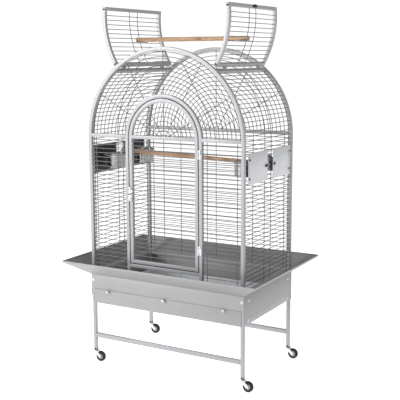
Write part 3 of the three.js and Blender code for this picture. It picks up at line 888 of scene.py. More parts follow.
# ---- Base sheets ---------------------------------------------------------
@dataclass
class SheetBase:
    """The folded seed guards and the skirts under them."""

    finishes: Finishes
    hem_radius: float = 0.0019

    def build(self) -> None:
        """Builds and dresses the sheets."""
        for name in ("front", "rear", "left", "right"):
            guard = rounded_copy(f"seed_guard_{name}", f"guard_{name}", SHEET_ROUND)
            rim = self._hem(name)
            dress(weld(f"guard_{name}", [guard, rim]), "cage", "sheet_coat", self.finishes.sheet,
                  f"seed_guard_{name}")
            skirt = rounded_copy(f"skirt_{name}", f"apron_{name}", SHEET_ROUND)
            dress(skirt, "cage", "sheet_coat", self.finishes.sheet, f"skirt_{name}")

    def _hem(self, name: str) -> Piece:
        """The rolled hem along one guard's top edge.

        Args:
            name: the guard's side.

        Returns:
            The hem.
        """
        low, high = (Vector(v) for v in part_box(f"seed_guard_{name}"))
        top = high.z - self.hem_radius
        inset = self.hem_radius
        ends = {
            "front": ((low.x + inset, low.y + inset), (high.x - inset, low.y + inset)),
            "rear": ((low.x + inset, high.y - inset), (high.x - inset, high.y - inset)),
            "left": ((low.x + inset, low.y + inset), (low.x + inset, high.y - inset)),
            "right": ((high.x - inset, low.y + inset), (high.x - inset, high.y - inset)),
        }[name]
        return rod(f"hem_{name}", (*ends[0], top), (*ends[1], top), self.hem_radius, 10)


# ---- Drawer --------------------------------------------------------------
@dataclass
class Drawer:
    """The litter drawer, its knobs and the grate that rests in it."""

    finishes: Finishes
    lip_height: float = 0.006
    grate_wire: float = 0.0018
    grate_pitch: float = 0.022

    def build(self) -> None:
        """Builds and dresses the drawer."""
        tray = rounded_copy("drawer_tray", "tray", SHEET_ROUND)
        low, high = (Vector(v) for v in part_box("drawer_front"))
        lip = block("tray_lip", (low.x, low.y - 0.0012, high.z - self.lip_height),
                    (high.x, low.y + 0.0004, high.z), 0.0006)
        ends = [block("tray_end", (x - 0.0015, low.y - 0.0008, low.z), (x + 0.0015, low.y + 0.0004, high.z),
                      0.0006)
                for x in (low.x + 0.0016, high.x - 0.0016)]
        # Painted light: the tray takes the brightened grate coat to offset the shade in it.
        dress(tray, "drawer", "sheet_coat", self.finishes.grate, "drawer_tray")
        face = rounded_copy("drawer_front", "face", SHEET_ROUND)
        dress(weld("drawer_face", [face, lip, *ends]), "drawer", "sheet_coat", self.finishes.sheet,
              "drawer_front")
        self._knobs()
        self._grate()

    def _knobs(self) -> None:
        """Builds the three ball knobs."""
        low, high = (Vector(v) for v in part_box("drawer_knob_middle"))
        radius = (high.x - low.x) / 2
        ball = [(0.00001, 0.0), (0.0062, 0.0), (0.0062, 0.0012), (0.0042, 0.0016), (0.0040, 0.0034)]
        middle = high.y - low.y - radius
        start = math.radians(-65)
        for step in range(13):
            angle = start + (math.radians(90) - start) * step / 12
            ball.append((max(radius * math.cos(angle), 0.00001), middle + radius * math.sin(angle)))
        first = turned("knob_seed", ball, (0.0, high.y, (low.z + high.z) / 2), 28, (0.0, -1.0, 0.0))
        for label in ("left", "middle", "right"):
            node = f"drawer_knob_{label}"
            a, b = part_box(node)
            knob = copied(first, f"knob_{label}", Matrix.Translation(((a[0] + b[0]) / 2, 0.0, 0.0)))
            dress(knob, "drawer", "chrome", self.finishes.chrome, node)
        bpy.data.objects.remove(first)

    def _grate(self) -> None:
        """Builds the wire grate."""
        low, high = (Vector(v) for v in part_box("floor_grate"))
        r = self.grate_wire
        z = low.z + r
        corners = [(low.x + r, low.y + r), (high.x - r, low.y + r), (high.x - r, high.y - r),
                   (low.x + r, high.y - r)]
        parts = [rod("grate_edge", (*a, z), (*b, z), r) for a, b in zip(corners, corners[1:] + corners[:1])]
        count = row_count(high.x - low.x, self.grate_pitch)
        first = rod("grate_wire", (low.x + self.grate_pitch, low.y + r, high.z - r),
                    (low.x + self.grate_pitch, high.y - r, high.z - r), r)
        parts.append(repeat(first, count, (self.grate_pitch, 0.0, 0.0)))
        for share in (0.25, 0.5, 0.75):
            y = low.y + (high.y - low.y) * share
            parts.append(rod("grate_cross", (low.x + r, y, z), (high.x - r, y, z), r))
        # Painted light: the grate takes the brightened coat to offset the shade in the tray.
        dress(weld("grate", parts), "grate", "wire_coat", self.finishes.grate, "floor_grate")


# ---- Wire work -----------------------------------------------------------
@dataclass
class WireWork:
    """The flat panels and fans of welded wire."""

    sizes: CageSizes
    finishes: Finishes
    bury: float = 0.004
    behind: float = WIRE_CROSSING
    spoke_step: int = 30
    hub_radius: float = 0.025

    def grid(self, node: str, body: str, uprights: Sequence[float], inward: float) -> None:
        """Builds one flat panel.

        Args:
            node: the CAD panel it stands for.
            body: the body it moves with.
            uprights: the uprights' X.
            inward: which way the uprights lie behind the rows, along Y.
        """
        low, high = (Vector(v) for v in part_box(node))
        y = (low.y + high.y) / 2
        x0, x1 = low.x - self.bury, high.x + self.bury
        row = rod("row", (x0, y, low.z + WIRE_PITCH), (x1, y, low.z + WIRE_PITCH), WIRE_RADIUS)
        parts = [repeat(row, row_count(high.z - low.z, WIRE_PITCH), (0.0, 0.0, WIRE_PITCH))]
        for x in uprights:
            here = (x, y + inward * self.behind)
            parts.append(rod("upright", (*here, low.z - self.bury), (*here, high.z + self.bury), WIRE_RADIUS))
        dress(weld(f"mesh_{node}", parts), body, "wire_coat", self.finishes.wire, node)

    def fan(self, node: str, body: str, span: tuple[float, float], first: float, inward: float) -> None:
        """Builds one fan of rings and spokes.

        Args:
            node: the CAD fan it stands for.
            body: the body it moves with.
            span: the spokes' inner and outer ends, from the hub.
            first: the first ring's radius.
            inward: which way the spokes lie behind the rings, along Y.
        """
        low, high = (Vector(v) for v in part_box(node))
        y = (low.y + high.y) / 2
        inner, outer = span
        parts = []
        radius = first
        lift = self.sizes.crossbar_top - self.sizes.spring_z - self.bury
        while radius < outer - 0.004:
            dip = math.asin(min(0.95, lift / radius))
            parts.append(hoop("ring", (0.0, y, self.sizes.spring_z), radius, (dip, math.pi - dip)))
            radius += WIRE_PITCH
        for degrees in range(self.spoke_step, 180, self.spoke_step):
            angle = math.radians(degrees)
            ends = [(r * math.cos(angle), y + inward * self.behind, self.sizes.spring_z + r * math.sin(angle))
                    for r in (inner, outer + self.bury)]
            parts.append(rod("spoke", ends[0], ends[1], WIRE_RADIUS))
        dress(weld(f"mesh_{node}", parts), body, "wire_coat", self.finishes.wire, node)

    def build(self) -> None:
        """Builds every flat panel and fan."""
        s = self.sizes
        for side in Side:
            ups = [side.value * x for x in (0.272, 0.454)]
            self.grid(f"front_wires_{side.label}", "cage", ups, 1.0)
        self.grid("rear_wires", "cage", (-0.452, -0.250, 0.0, 0.250, 0.452), -1.0)
        self.grid("door_wires", "door", (0.0,), 1.0)
        jamb = s.jamb_half + s.tube
        arch = s.half_w - s.tube
        self.fan("front_fan_wires", "cage", (jamb - self.bury, arch), jamb + WIRE_PITCH, 1.0)
        self.fan("rear_fan_wires", "cage", (self.hub_radius, arch), self.hub_radius, -1.0)
        self.fan("door_fan_wires", "door", (self.hub_radius, s.door_half - s.tube), self.hub_radius, 1.0)


# ---- Frames --------------------------------------------------------------
@dataclass
class ArchFrames:
    """The arched front and rear tube frames."""

    sizes: CageSizes
    finishes: Finishes

    def _arch(self, name: str, radius: float, y: float, foot: float) -> Piece:
        """One tube up a side, over the arch and down again.

        Args:
            name: the piece's name.
            radius: the arch's middle radius.
            y: the tube's middle.
            foot: the height of its two feet.

        Returns:
            The tube.
        """
        s = self.sizes
        run = SquareRun(name, (radius, y, foot), (s.tube, s.tube))
        rise = s.spring_z - foot
        run.pull((0.0, 0.0, rise)).bend((0.0, y, s.spring_z), math.pi).pull((0.0, 0.0, -rise))
        return run.finish()

    def build(self) -> None:
        """Builds and dresses both frames."""
        s = self.sizes
        half = s.tube / 2
        bar_low = s.crossbar_top - s.tube
        for end in End:
            node = f"{end.label}_frame"
            y = end.value * (s.half_d - half)
            ys = (y - half + 0.0002, y + half - 0.0002)
            parts = [self._arch("arch", s.half_w - half, y, s.cage_z)]
            parts.append(block("sill", (-s.half_w + half, ys[0], s.cage_z),
                               (s.half_w - half, ys[1], s.cage_z + s.tube)))
            if end is End.REAR:
                parts.append(block("bar", (-s.half_w + half, ys[0], bar_low),
                                   (s.half_w - half, ys[1], s.crossbar_top)))
            else:
                parts.extend(self._doorway(ys, bar_low))
            dress(weld(f"{node}_tubes", parts), "cage", "powder_coat", self.finishes.coat, node)

    def _doorway(self, ys: tuple[float, float], bar_low: float) -> list[Piece]:
        """The tubes round the door.

        Args:
            ys: the front and back of the crossbars.
            bar_low: the crossbars' underside.

        Returns:
            The tubes.
        """
        s = self.sizes
        half = s.tube / 2
        y = (ys[0] + ys[1]) / 2
        jamb = s.jamb_half + half
        head = s.door_z - 0.005
        parts = [self._arch("doorway", jamb, y, s.cage_z + half)]
        parts.append(block("under_door", (-jamb, ys[0], head - s.tube), (jamb, ys[1], head)))
        for side in Side:
            xs = sorted((side.value * (jamb + half * 0.5), side.value * (s.half_w - half)))
            parts.append(block("bar", (xs[0], ys[0], bar_low), (xs[1], ys[1], s.crossbar_top)))
        return parts


# ---- Side panels and vault -----------------------------------------------
@dataclass
class SidePanels:
    """The flat side panels with their feeder openings."""

    sizes: CageSizes
    finishes: Finishes
    opening_low: float = 1.128
    opening_high: float = 1.282
    opening_near: float = 0.040
    opening_far: float = 0.263

    def build(self) -> None:
        """Builds and dresses both panels."""
        for side in Side:
            self._tubes(side)
            self._wires(side)

    def _tubes(self, side: Side) -> None:
        """The panel's bottom tube.

        Args:
            side: the panel's side.
        """
        s = self.sizes
        node = f"side_panel_{side.label}"
        xs = sorted((side.value * (s.half_w - s.tube), side.value * s.half_w))
        span = s.inner_y + 0.002
        bar = block(f"side_bar_{side.label}", (xs[0] + 0.0002, -span, s.cage_z),
                    (xs[1] - 0.0002, span, s.cage_z + s.tube))
        dress(bar, "cage", "powder_coat", self.finishes.coat, node)

    def _wires(self, side: Side) -> None:
        """The panel's wires.

        Args:
            side: the panel's side.
        """
        s = self.sizes
        x = side.value * s.wire_r
        span = s.inner_y + 0.004
        first = s.cage_z + s.tube
        count = row_count(s.spring_z - first, WIRE_PITCH)
        open_rows = [i for i in range(1, count + 1)
                     if self.opening_low < first + i * WIRE_PITCH < self.opening_high]
        below, above = open_rows[0] - 1, count - open_rows[-1]
        parts = []
        for start, rows in ((1, below), (open_rows[-1] + 1, above)):
            z = first + start * WIRE_PITCH
            row = rod("row", (x, -span, z), (x, span, z), WIRE_RADIUS)
            parts.append(repeat(row, rows, (0.0, 0.0, WIRE_PITCH)))
        z = first + open_rows[0] * WIRE_PITCH
        for y0, y1 in ((-span, -self.opening_far), (-self.opening_near, self.opening_near),
                       (self.opening_far, span)):
            row = rod("row", (x, y0, z), (x, y1, z), WIRE_RADIUS)
            parts.append(repeat(row, len(open_rows), (0.0, 0.0, WIRE_PITCH)))
        for z in (self.opening_low - 0.002, self.opening_high + 0.002):
            parts.append(rod("opening_edge", (x, -span, z), (x, span, z), WIRE_RADIUS * 1.2))
        back = x - side.value * WIRE_CROSSING
        for y in s.side_uprights:
            parts.append(rod("upright", (back, y, first - 0.004), (back, y, s.spring_z), WIRE_RADIUS))
        dress(weld(f"side_mesh_{side.label}", parts), "cage", "wire_coat", self.finishes.wire)


@dataclass
class Vault:
    """The curved roof: its fixed sides, its two open flaps, their hinges and their catch."""

    sizes: CageSizes
    finishes: Finishes
    root: float = math.radians(50.0)
    opened: float = math.radians(83.0)
    pivot_offset: float = 0.0045
    hinge_y: float = 0.200
    knuckle_r: float = 0.0038
    split: float = 0.0006

    @property
    def pitch(self) -> float:
        """The wires' pitch as an angle about the hub."""
        return WIRE_PITCH / self.sizes.wire_r

    @property
    def tube_half(self) -> float:
        """Half a tube's width as an angle about the hub."""
        return self.sizes.tube / 2 / (self.sizes.half_w - self.sizes.tube / 2)

    def _placed(self, parts: Sequence[Piece], side: Side) -> None:
        """Turns right-hand parts over to the left where needed.

        Args:
            parts: the parts as built for the right.
            side: the side they belong to.
        """
        if side is Side.LEFT:
            for part in parts:
                moved(part, Matrix.Scale(-1.0, 4, (1.0, 0.0, 0.0)))
                with editing(part):
                    bpy.ops.mesh.normals_make_consistent(inside=False)

    def _tube(self, angle: float, span: float) -> Piece:
        """A tube along the vault's depth at an angle."""
        s = self.sizes
        low = (s.half_w - s.tube, -span, s.spring_z - s.tube / 2)
        high = (s.half_w, span, s.spring_z + s.tube / 2)
        return moved(block("bar", low, high), s.turn_of(angle))

    def _wires(self, start: float, stop: float, span: float) -> list[Piece]:
        """The curved wires and the straight ones across them.

        Args:
            start: the first tube's angle.
            stop: the last tube's angle.
            span: half the straight wires' length.

        Returns:
            The wires.
        """
        s = self.sizes
        parts = [hoop("hoop", (0.0, y, s.spring_z), s.wire_r - WIRE_CROSSING,
                      (start, stop)) for y in s.side_uprights]
        seed = rod("across", (s.wire_r, -span, s.spring_z), (s.wire_r, span, s.spring_z), WIRE_RADIUS)
        angle = start + (self.tube_half if start else -self.pitch * 0.71) + self.pitch
        while angle < stop - self.tube_half - self.pitch * 0.3:
            parts.append(copied(seed, "across", s.turn_of(angle)))
            angle += self.pitch
        bpy.data.objects.remove(seed)
        return parts

    def _hinge(self, spans: Sequence[tuple[float, float]], above: bool) -> list[Piece]:
        """Knuckles and leaves on the pivot line.

        Args:
            spans: the Y ends of each knuckle.
            above: whether the leaf lies on the flap.

        Returns:
            The hinge parts.
        """
        s = self.sizes
        radius = s.half_w + self.pivot_offset
        parts = []
        for y0, y1 in spans:
            parts.append(rod("knuckle", (radius, y0, s.spring_z), (radius, y1, s.spring_z), self.knuckle_r,
                             16))
            reach = 0.013 if above else -0.013
            zs = sorted((s.spring_z, s.spring_z + reach))
            parts.append(block("leaf", (s.half_w - 0.001, y0, zs[0]), (s.half_w + 0.0019, y1, zs[1]), 0.0005))
        return [moved(part, s.turn_of(self.root)) for part in parts]

    def build(self) -> None:
        """Builds and dresses the vault."""
        for side in Side:
            self._fixed(side)
            self._flap(side)
        self._catch()

    def _fixed(self, side: Side) -> None:
        """The fixed part of one side of the vault.

        Args:
            side: the vault's side.
        """
        s = self.sizes
        node = f"vault_side_{side.label}"
        tube_at = self.root - self.split - self.tube_half
        tubes = [self._tube(tube_at, s.inner_y + 0.002)]
        tubes += self._hinge([(y - 0.010, y + 0.010) for y in (-self.hinge_y, self.hinge_y)], False)
        self._placed(tubes, side)
        dress(weld(f"vault_bar_{side.label}", tubes), "cage", "powder_coat", self.finishes.coat, node)
        wires = self._wires(0.0, tube_at, s.inner_y + 0.004)
        self._placed(wires, side)
        dress(weld(f"vault_mesh_{side.label}", wires), "cage", "wire_coat", self.finishes.wire)

    def _swing(self) -> Matrix:
        """The turn that opens the right-hand flap. The left one is placed as its mirror image."""
        s = self.sizes
        radius = s.half_w + self.pivot_offset
        pivot = (radius * math.cos(self.root), 0.0, s.spring_z + radius * math.sin(self.root))
        return about(pivot, "Y", self.opened)

    def _flap(self, side: Side) -> None:
        """One roof flap, swung open.

        Args:
            side: the flap's side.
        """
        s = self.sizes
        node = f"roof_flap_{side.label}"
        body = f"roof_flap_{side.label}"
        span = s.inner_y - 0.0009
        root = self.root + self.split + self.tube_half
        tip = math.pi / 2 - self.split * 2 - self.tube_half
        tubes = [self._tube(root, span), self._tube(tip, span)]
        for end in End:
            y = end.value * (span - s.tube / 2)
            radius = s.wire_r
            start = (radius * math.cos(root), y, s.spring_z + radius * math.sin(root))
            run = SquareRun("hoop", start, (s.tube - 0.0004, s.tube), -root)
            tubes.append(run.bend((0.0, y, s.spring_z), tip - root).finish())
        spans = []
        for y in (-self.hinge_y, self.hinge_y):
            spans += [(y - 0.0206, y - 0.0106), (y + 0.0106, y + 0.0206)]
        tubes += self._hinge(spans, True)
        tubes = [moved(part, self._swing()) for part in tubes]
        tubes += self._shelf()
        self._placed(tubes, side)
        dress(weld(f"flap_{side.label}", tubes), body, "powder_coat", self.finishes.coat, node)
        wires = [moved(part, self._swing()) for part in self._wires(root, tip, span - 0.010)]
        self._placed(wires, side)
        dress(weld(f"flap_mesh_{side.label}", wires), body, "wire_coat", self.finishes.wire)

    def _shelf(self) -> list[Piece]:
        """The small shelf that one end of the top perch rests on."""
        low, high = (Vector(v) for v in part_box("top_perch"))
        top = low.z - 0.0003
        plate = block("shelf", (high.x - 0.030, -0.042, top - 0.003), (high.x + 0.030, 0.042, top), 0.0008)
        wires = [rod("shelf_arm", (high.x - 0.028, y, top - 0.0015), (high.x + 0.028, y, top - 0.0015),
                     0.0022, 10)
                 for y in (-0.040, 0.040)]
        return [plate, *wires]

    def _catch(self) -> None:
        """The black catch on the right flap's tip and its keeper on the left one."""
        s = self.sizes
        low = (s.half_w + 0.0003, -0.019, s.spring_z - 0.007)
        high = (s.half_w + 0.0095, 0.019, s.spring_z + 0.007)
        tip = math.pi / 2 - self.split * 2 - self.tube_half
        body = block("catch", low, high, 0.0022)
        thumb = block("thumb", (high[0] - 0.004, -0.006, low[2] + 0.002),
                      (high[0] - 0.0002, 0.006, high[2] + 0.004),
                      0.0015)
        parts = [moved(moved(part, s.turn_of(tip)), self._swing()) for part in (body, thumb)]
        dress(weld("flap_catch", parts), "roof_flap_right", "black_plastic", self.finishes.black,
              "roof_catch")
        plate = block("keeper", (s.half_w - 0.0004, -0.020, s.spring_z - 0.006),
                      (s.half_w + 0.0014, 0.020, s.spring_z + 0.006), 0.0006)
        ring = turned("keeper_ring", [(0.0052 + 0.0016 * math.cos(a), 0.0016 * math.sin(a))
                                      for a in (math.tau * i / 10 for i in range(10))],
                      (s.half_w + 0.0055, 0.0, s.spring_z), 24, (0.0, 1.0, 0.0))
        first = bolt_head("screw_seed", 0.0030, (1.0, 0.0, 0.0))
        heads = [copied(first, "screw", Matrix.Translation((s.half_w + 0.0012, y, s.spring_z)))
                 for y in (-0.014, 0.014)]
        bpy.data.objects.remove(first)
        for part in (plate, ring, *heads):
            moved(moved(part, s.turn_of(tip)), self._swing())
        self._placed((plate, ring, *heads), Side.LEFT)
        dress(weld("flap_keeper", [plate, ring, *heads]), "roof_flap_left", "black_plastic",
              self.finishes.black)


# ---- Door ----------------------------------------------------------------
@dataclass
class Door:
    """The arched door, its hinges and its latch."""

    sizes: CageSizes
    finishes: Finishes
    latch_z: float = 1.030

    def build(self) -> None:
        """Builds and dresses the door."""
        self._frame()
        for label in ("upper", "lower"):
            self._hinge(label)
        self._latch()

    def _frame(self) -> None:
        """The door's tube frame."""
        s = self.sizes
        half = s.tube / 2
        y = -s.half_d + half
        run = SquareRun("door_loop", (s.door_half - half, y, s.door_z), (s.tube, s.tube))
        rise = s.spring_z - s.door_z
        run.pull((0.0, 0.0, rise)).bend((0.0, y, s.spring_z), math.pi).pull((0.0, 0.0, -rise))
        loop = run.finish()
        inner = s.door_half - half
        ys = (y - half + 0.0002, y + half - 0.0002)
        sill = block("sill", (-inner, ys[0], s.door_z), (inner, ys[1], s.door_z + s.tube))
        bar = block("bar", (-inner, ys[0], s.crossbar_top - s.tube), (inner, ys[1], s.crossbar_top))
        # Painted shade: a black strip fills the gap round the door where that gap lies in shadow.
        self._stop()
        dress(weld("door_tubes", [loop, sill, bar]), "door", "powder_coat", self.finishes.coat, "door_frame")

    def _stop(self) -> None:
        """A black strip in the gap round the door: painted shade for the shadow inside the gap."""
        s = self.sizes
        radius = s.door_half + 0.0031
        y = -s.half_d + 0.0050
        width = 0.0034
        run = SquareRun("door_seal", (radius, y, s.door_z - 0.0040), (width, 0.0030), rounding=0.0005)
        rise = s.spring_z - s.door_z + 0.0040
        run.pull((0.0, 0.0, rise)).bend((0.0, y, s.spring_z), math.pi).pull((0.0, 0.0, -rise))
        arch = run.finish()
        sill = block("seal_sill", (-radius, y - 0.0015, s.door_z - 0.0046),
                     (radius, y + 0.0015, s.door_z - 0.0014),
                     0.0005)
        dress(weld("door_seal", [arch, sill]), "cage", "black_plastic", self.finishes.black)

    def _hinge(self, label: str) -> None:
        """One butt hinge with its knuckles, leaf, pin and screws.

        Args:
            label: upper or lower.
        """
        node = f"door_hinge_{label}"
        low, high = (Vector(v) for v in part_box(node))
        s = self.sizes
        axis_x = s.door_half + 0.0025
        axis_y = -s.half_d - 0.005
        height = high.z - low.z
        parts = []
        for index in range(5):
            z0 = low.z + height * index / 5 + 0.0003
            z1 = low.z + height * (index + 1) / 5 - 0.0003
            parts.append(rod("knuckle", (axis_x, axis_y, z0), (axis_x, axis_y, z1), 0.0039, 20))
        parts.append(rod("pin", (axis_x, axis_y, low.z), (axis_x, axis_y, high.z), 0.0030, 16))
        parts.append(block("leaf", (axis_x, -s.half_d - 0.0020, low.z),
                           (high.x, -s.half_d - 0.0003, high.z), 0.0005))
        seed = bolt_head("screw_seed", 0.0026, (0.0, -1.0, 0.0))
        for share in (0.17, 0.5, 0.83):
            place = ((axis_x + high.x) / 2 + 0.002, -s.half_d - 0.0018, low.z + height * share)
            parts.append(copied(seed, "screw", Matrix.Translation(place)))
        bpy.data.objects.remove(seed)
        dress(weld(f"hinge_{label}", parts), "cage", "chrome", self.finishes.chrome, node)

    def _latch(self) -> None:
        """The turning latch and the plate behind it."""
        low, high = (Vector(v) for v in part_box("door_latch"))
        x = (low.x + high.x) / 2
        face = -self.sizes.half_d
        boss = turned("boss", [(0.00001, 0.0), (0.0069, 0.0), (0.0069, 0.0040), (0.0052, 0.0055),
                               (0.0052, 0.0125),
                               (0.00001, 0.0125)], (x, face - 0.0003, self.latch_z), 28, (0.0, -1.0, 0.0))
        lever = block("lever", (low.x + 0.0002, low.y + 0.0004, low.z),
                      (high.x - 0.0002, low.y + 0.0058, high.z),
                      0.0022)
        with editing(lever):
            bpy.ops.mesh.subdivide(number_cuts=3)
        middle = (low.z + high.z) / 2
        for vertex in lever.data.vertices:
            share = abs(vertex.co.z - middle) / (high.z - middle)
            vertex.co.x = x + (vertex.co.x - x) * (1.0 - 0.38 * share ** 2)
        cap = copied(bolt_head("cap_seed", 0.0046, (0.0, -1.0, 0.0)), "cap",
                     Matrix.Translation((x, low.y + 0.0012, self.latch_z)))
        bpy.data.objects.remove(bpy.data.objects["cap_seed"])
        dress(weld("latch_lever", [boss, lever]), "latch", "chrome", self.finishes.chrome, "door_latch")
        dress(cap, "latch", "black_plastic", self.finishes.black)
        plate = block("latch_plate", (x - 0.0085, face - 0.0002, self.latch_z - 0.020),
                      (x + 0.0085, face + 0.0012, self.latch_z + 0.020), 0.0005)
        dress(plate, "door", "chrome", self.finishes.chrome)


# ---- Perches -------------------------------------------------------------
@dataclass
class Perches:
    """The two natural wood perches."""

    finishes: Finishes
    waver: float = 0.0020
    rings: int = 160
    inner_drop: tuple[float, float] = (1.235, 1.208)
    overhang: float = 0.022

    def _branch(self, name: str, start: Vector, end: Vector, radius: float, seed: float) -> Piece:
        """One smoothed branch with knots and slight bends.

        Args:
            name: the piece's name.
            start: the middle of the left end.
            end: the middle of the right end.
            radius: the branch's radius.
            seed: where in the noise its shape is taken.

        Returns:
            The branch, along X about the origin's height.
        """
        piece = rod(name, start, end, radius, 32)
        length = end.x - start.x
        with editing(piece):
            bpy.ops.mesh.bevel(offset=0.0016, segments=2, affect="EDGES")
        for index in range(1, self.rings):
            x = start.x + length * index / self.rings
            with editing(piece):
                bpy.ops.mesh.bisect(plane_co=(x, 0.0, 0.0), plane_no=(1.0, 0.0, 0.0))
        for vertex in piece.data.vertices:
            share = (vertex.co.x - start.x) / length
            middle = start.lerp(end, share)
            away = vertex.co - middle
            away.x = 0.0
            grain = noise.noise(Vector((share * 34.0 + seed, away.y * 90.0, away.z * 90.0)))
            slow = noise.noise(Vector((share * 9.0, seed, 0.5)))
            fade = min(1.0, 8.0 * min(share, 1.0 - share) + 0.2)
            shrink = 0.91 + 0.05 * slow + 0.055 * grain
            shift = Vector((0.0, slow * self.waver,
                            noise.noise(Vector((share * 5.0, 2.0, seed))) * self.waver))
            vertex.co = Vector((vertex.co.x, 0.0, 0.0)) + Vector((0.0, middle.y, middle.z)) + away * shrink
            vertex.co += shift * fade * 0.5
        return smooth(piece, 50.0)

    def build(self) -> None:
        """Builds and dresses both perches."""
        low, high = (Vector(v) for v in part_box("inner_perch"))
        radius = (high.y - low.y) / 2
        start = Vector((low.x + 0.001, 0.0, self.inner_drop[0]))
        end = Vector((high.x - 0.001, 0.0, self.inner_drop[1]))
        inner = self._branch("branch_inner", start, end, radius, 3.1)
        dress(inner, "cage", "perch_wood", self.finishes.wood, "inner_perch")
        low, high = (Vector(v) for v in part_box("top_perch"))
        z = (low.z + high.z) / 2
        reach = high.x + self.overhang
        top = self._branch("branch_top", Vector((-reach, 0.0, z)), Vector((reach, 0.0, z)), radius, 7.7)
        dress(top, "top_perch", "perch_wood", self.finishes.wood, "top_perch")


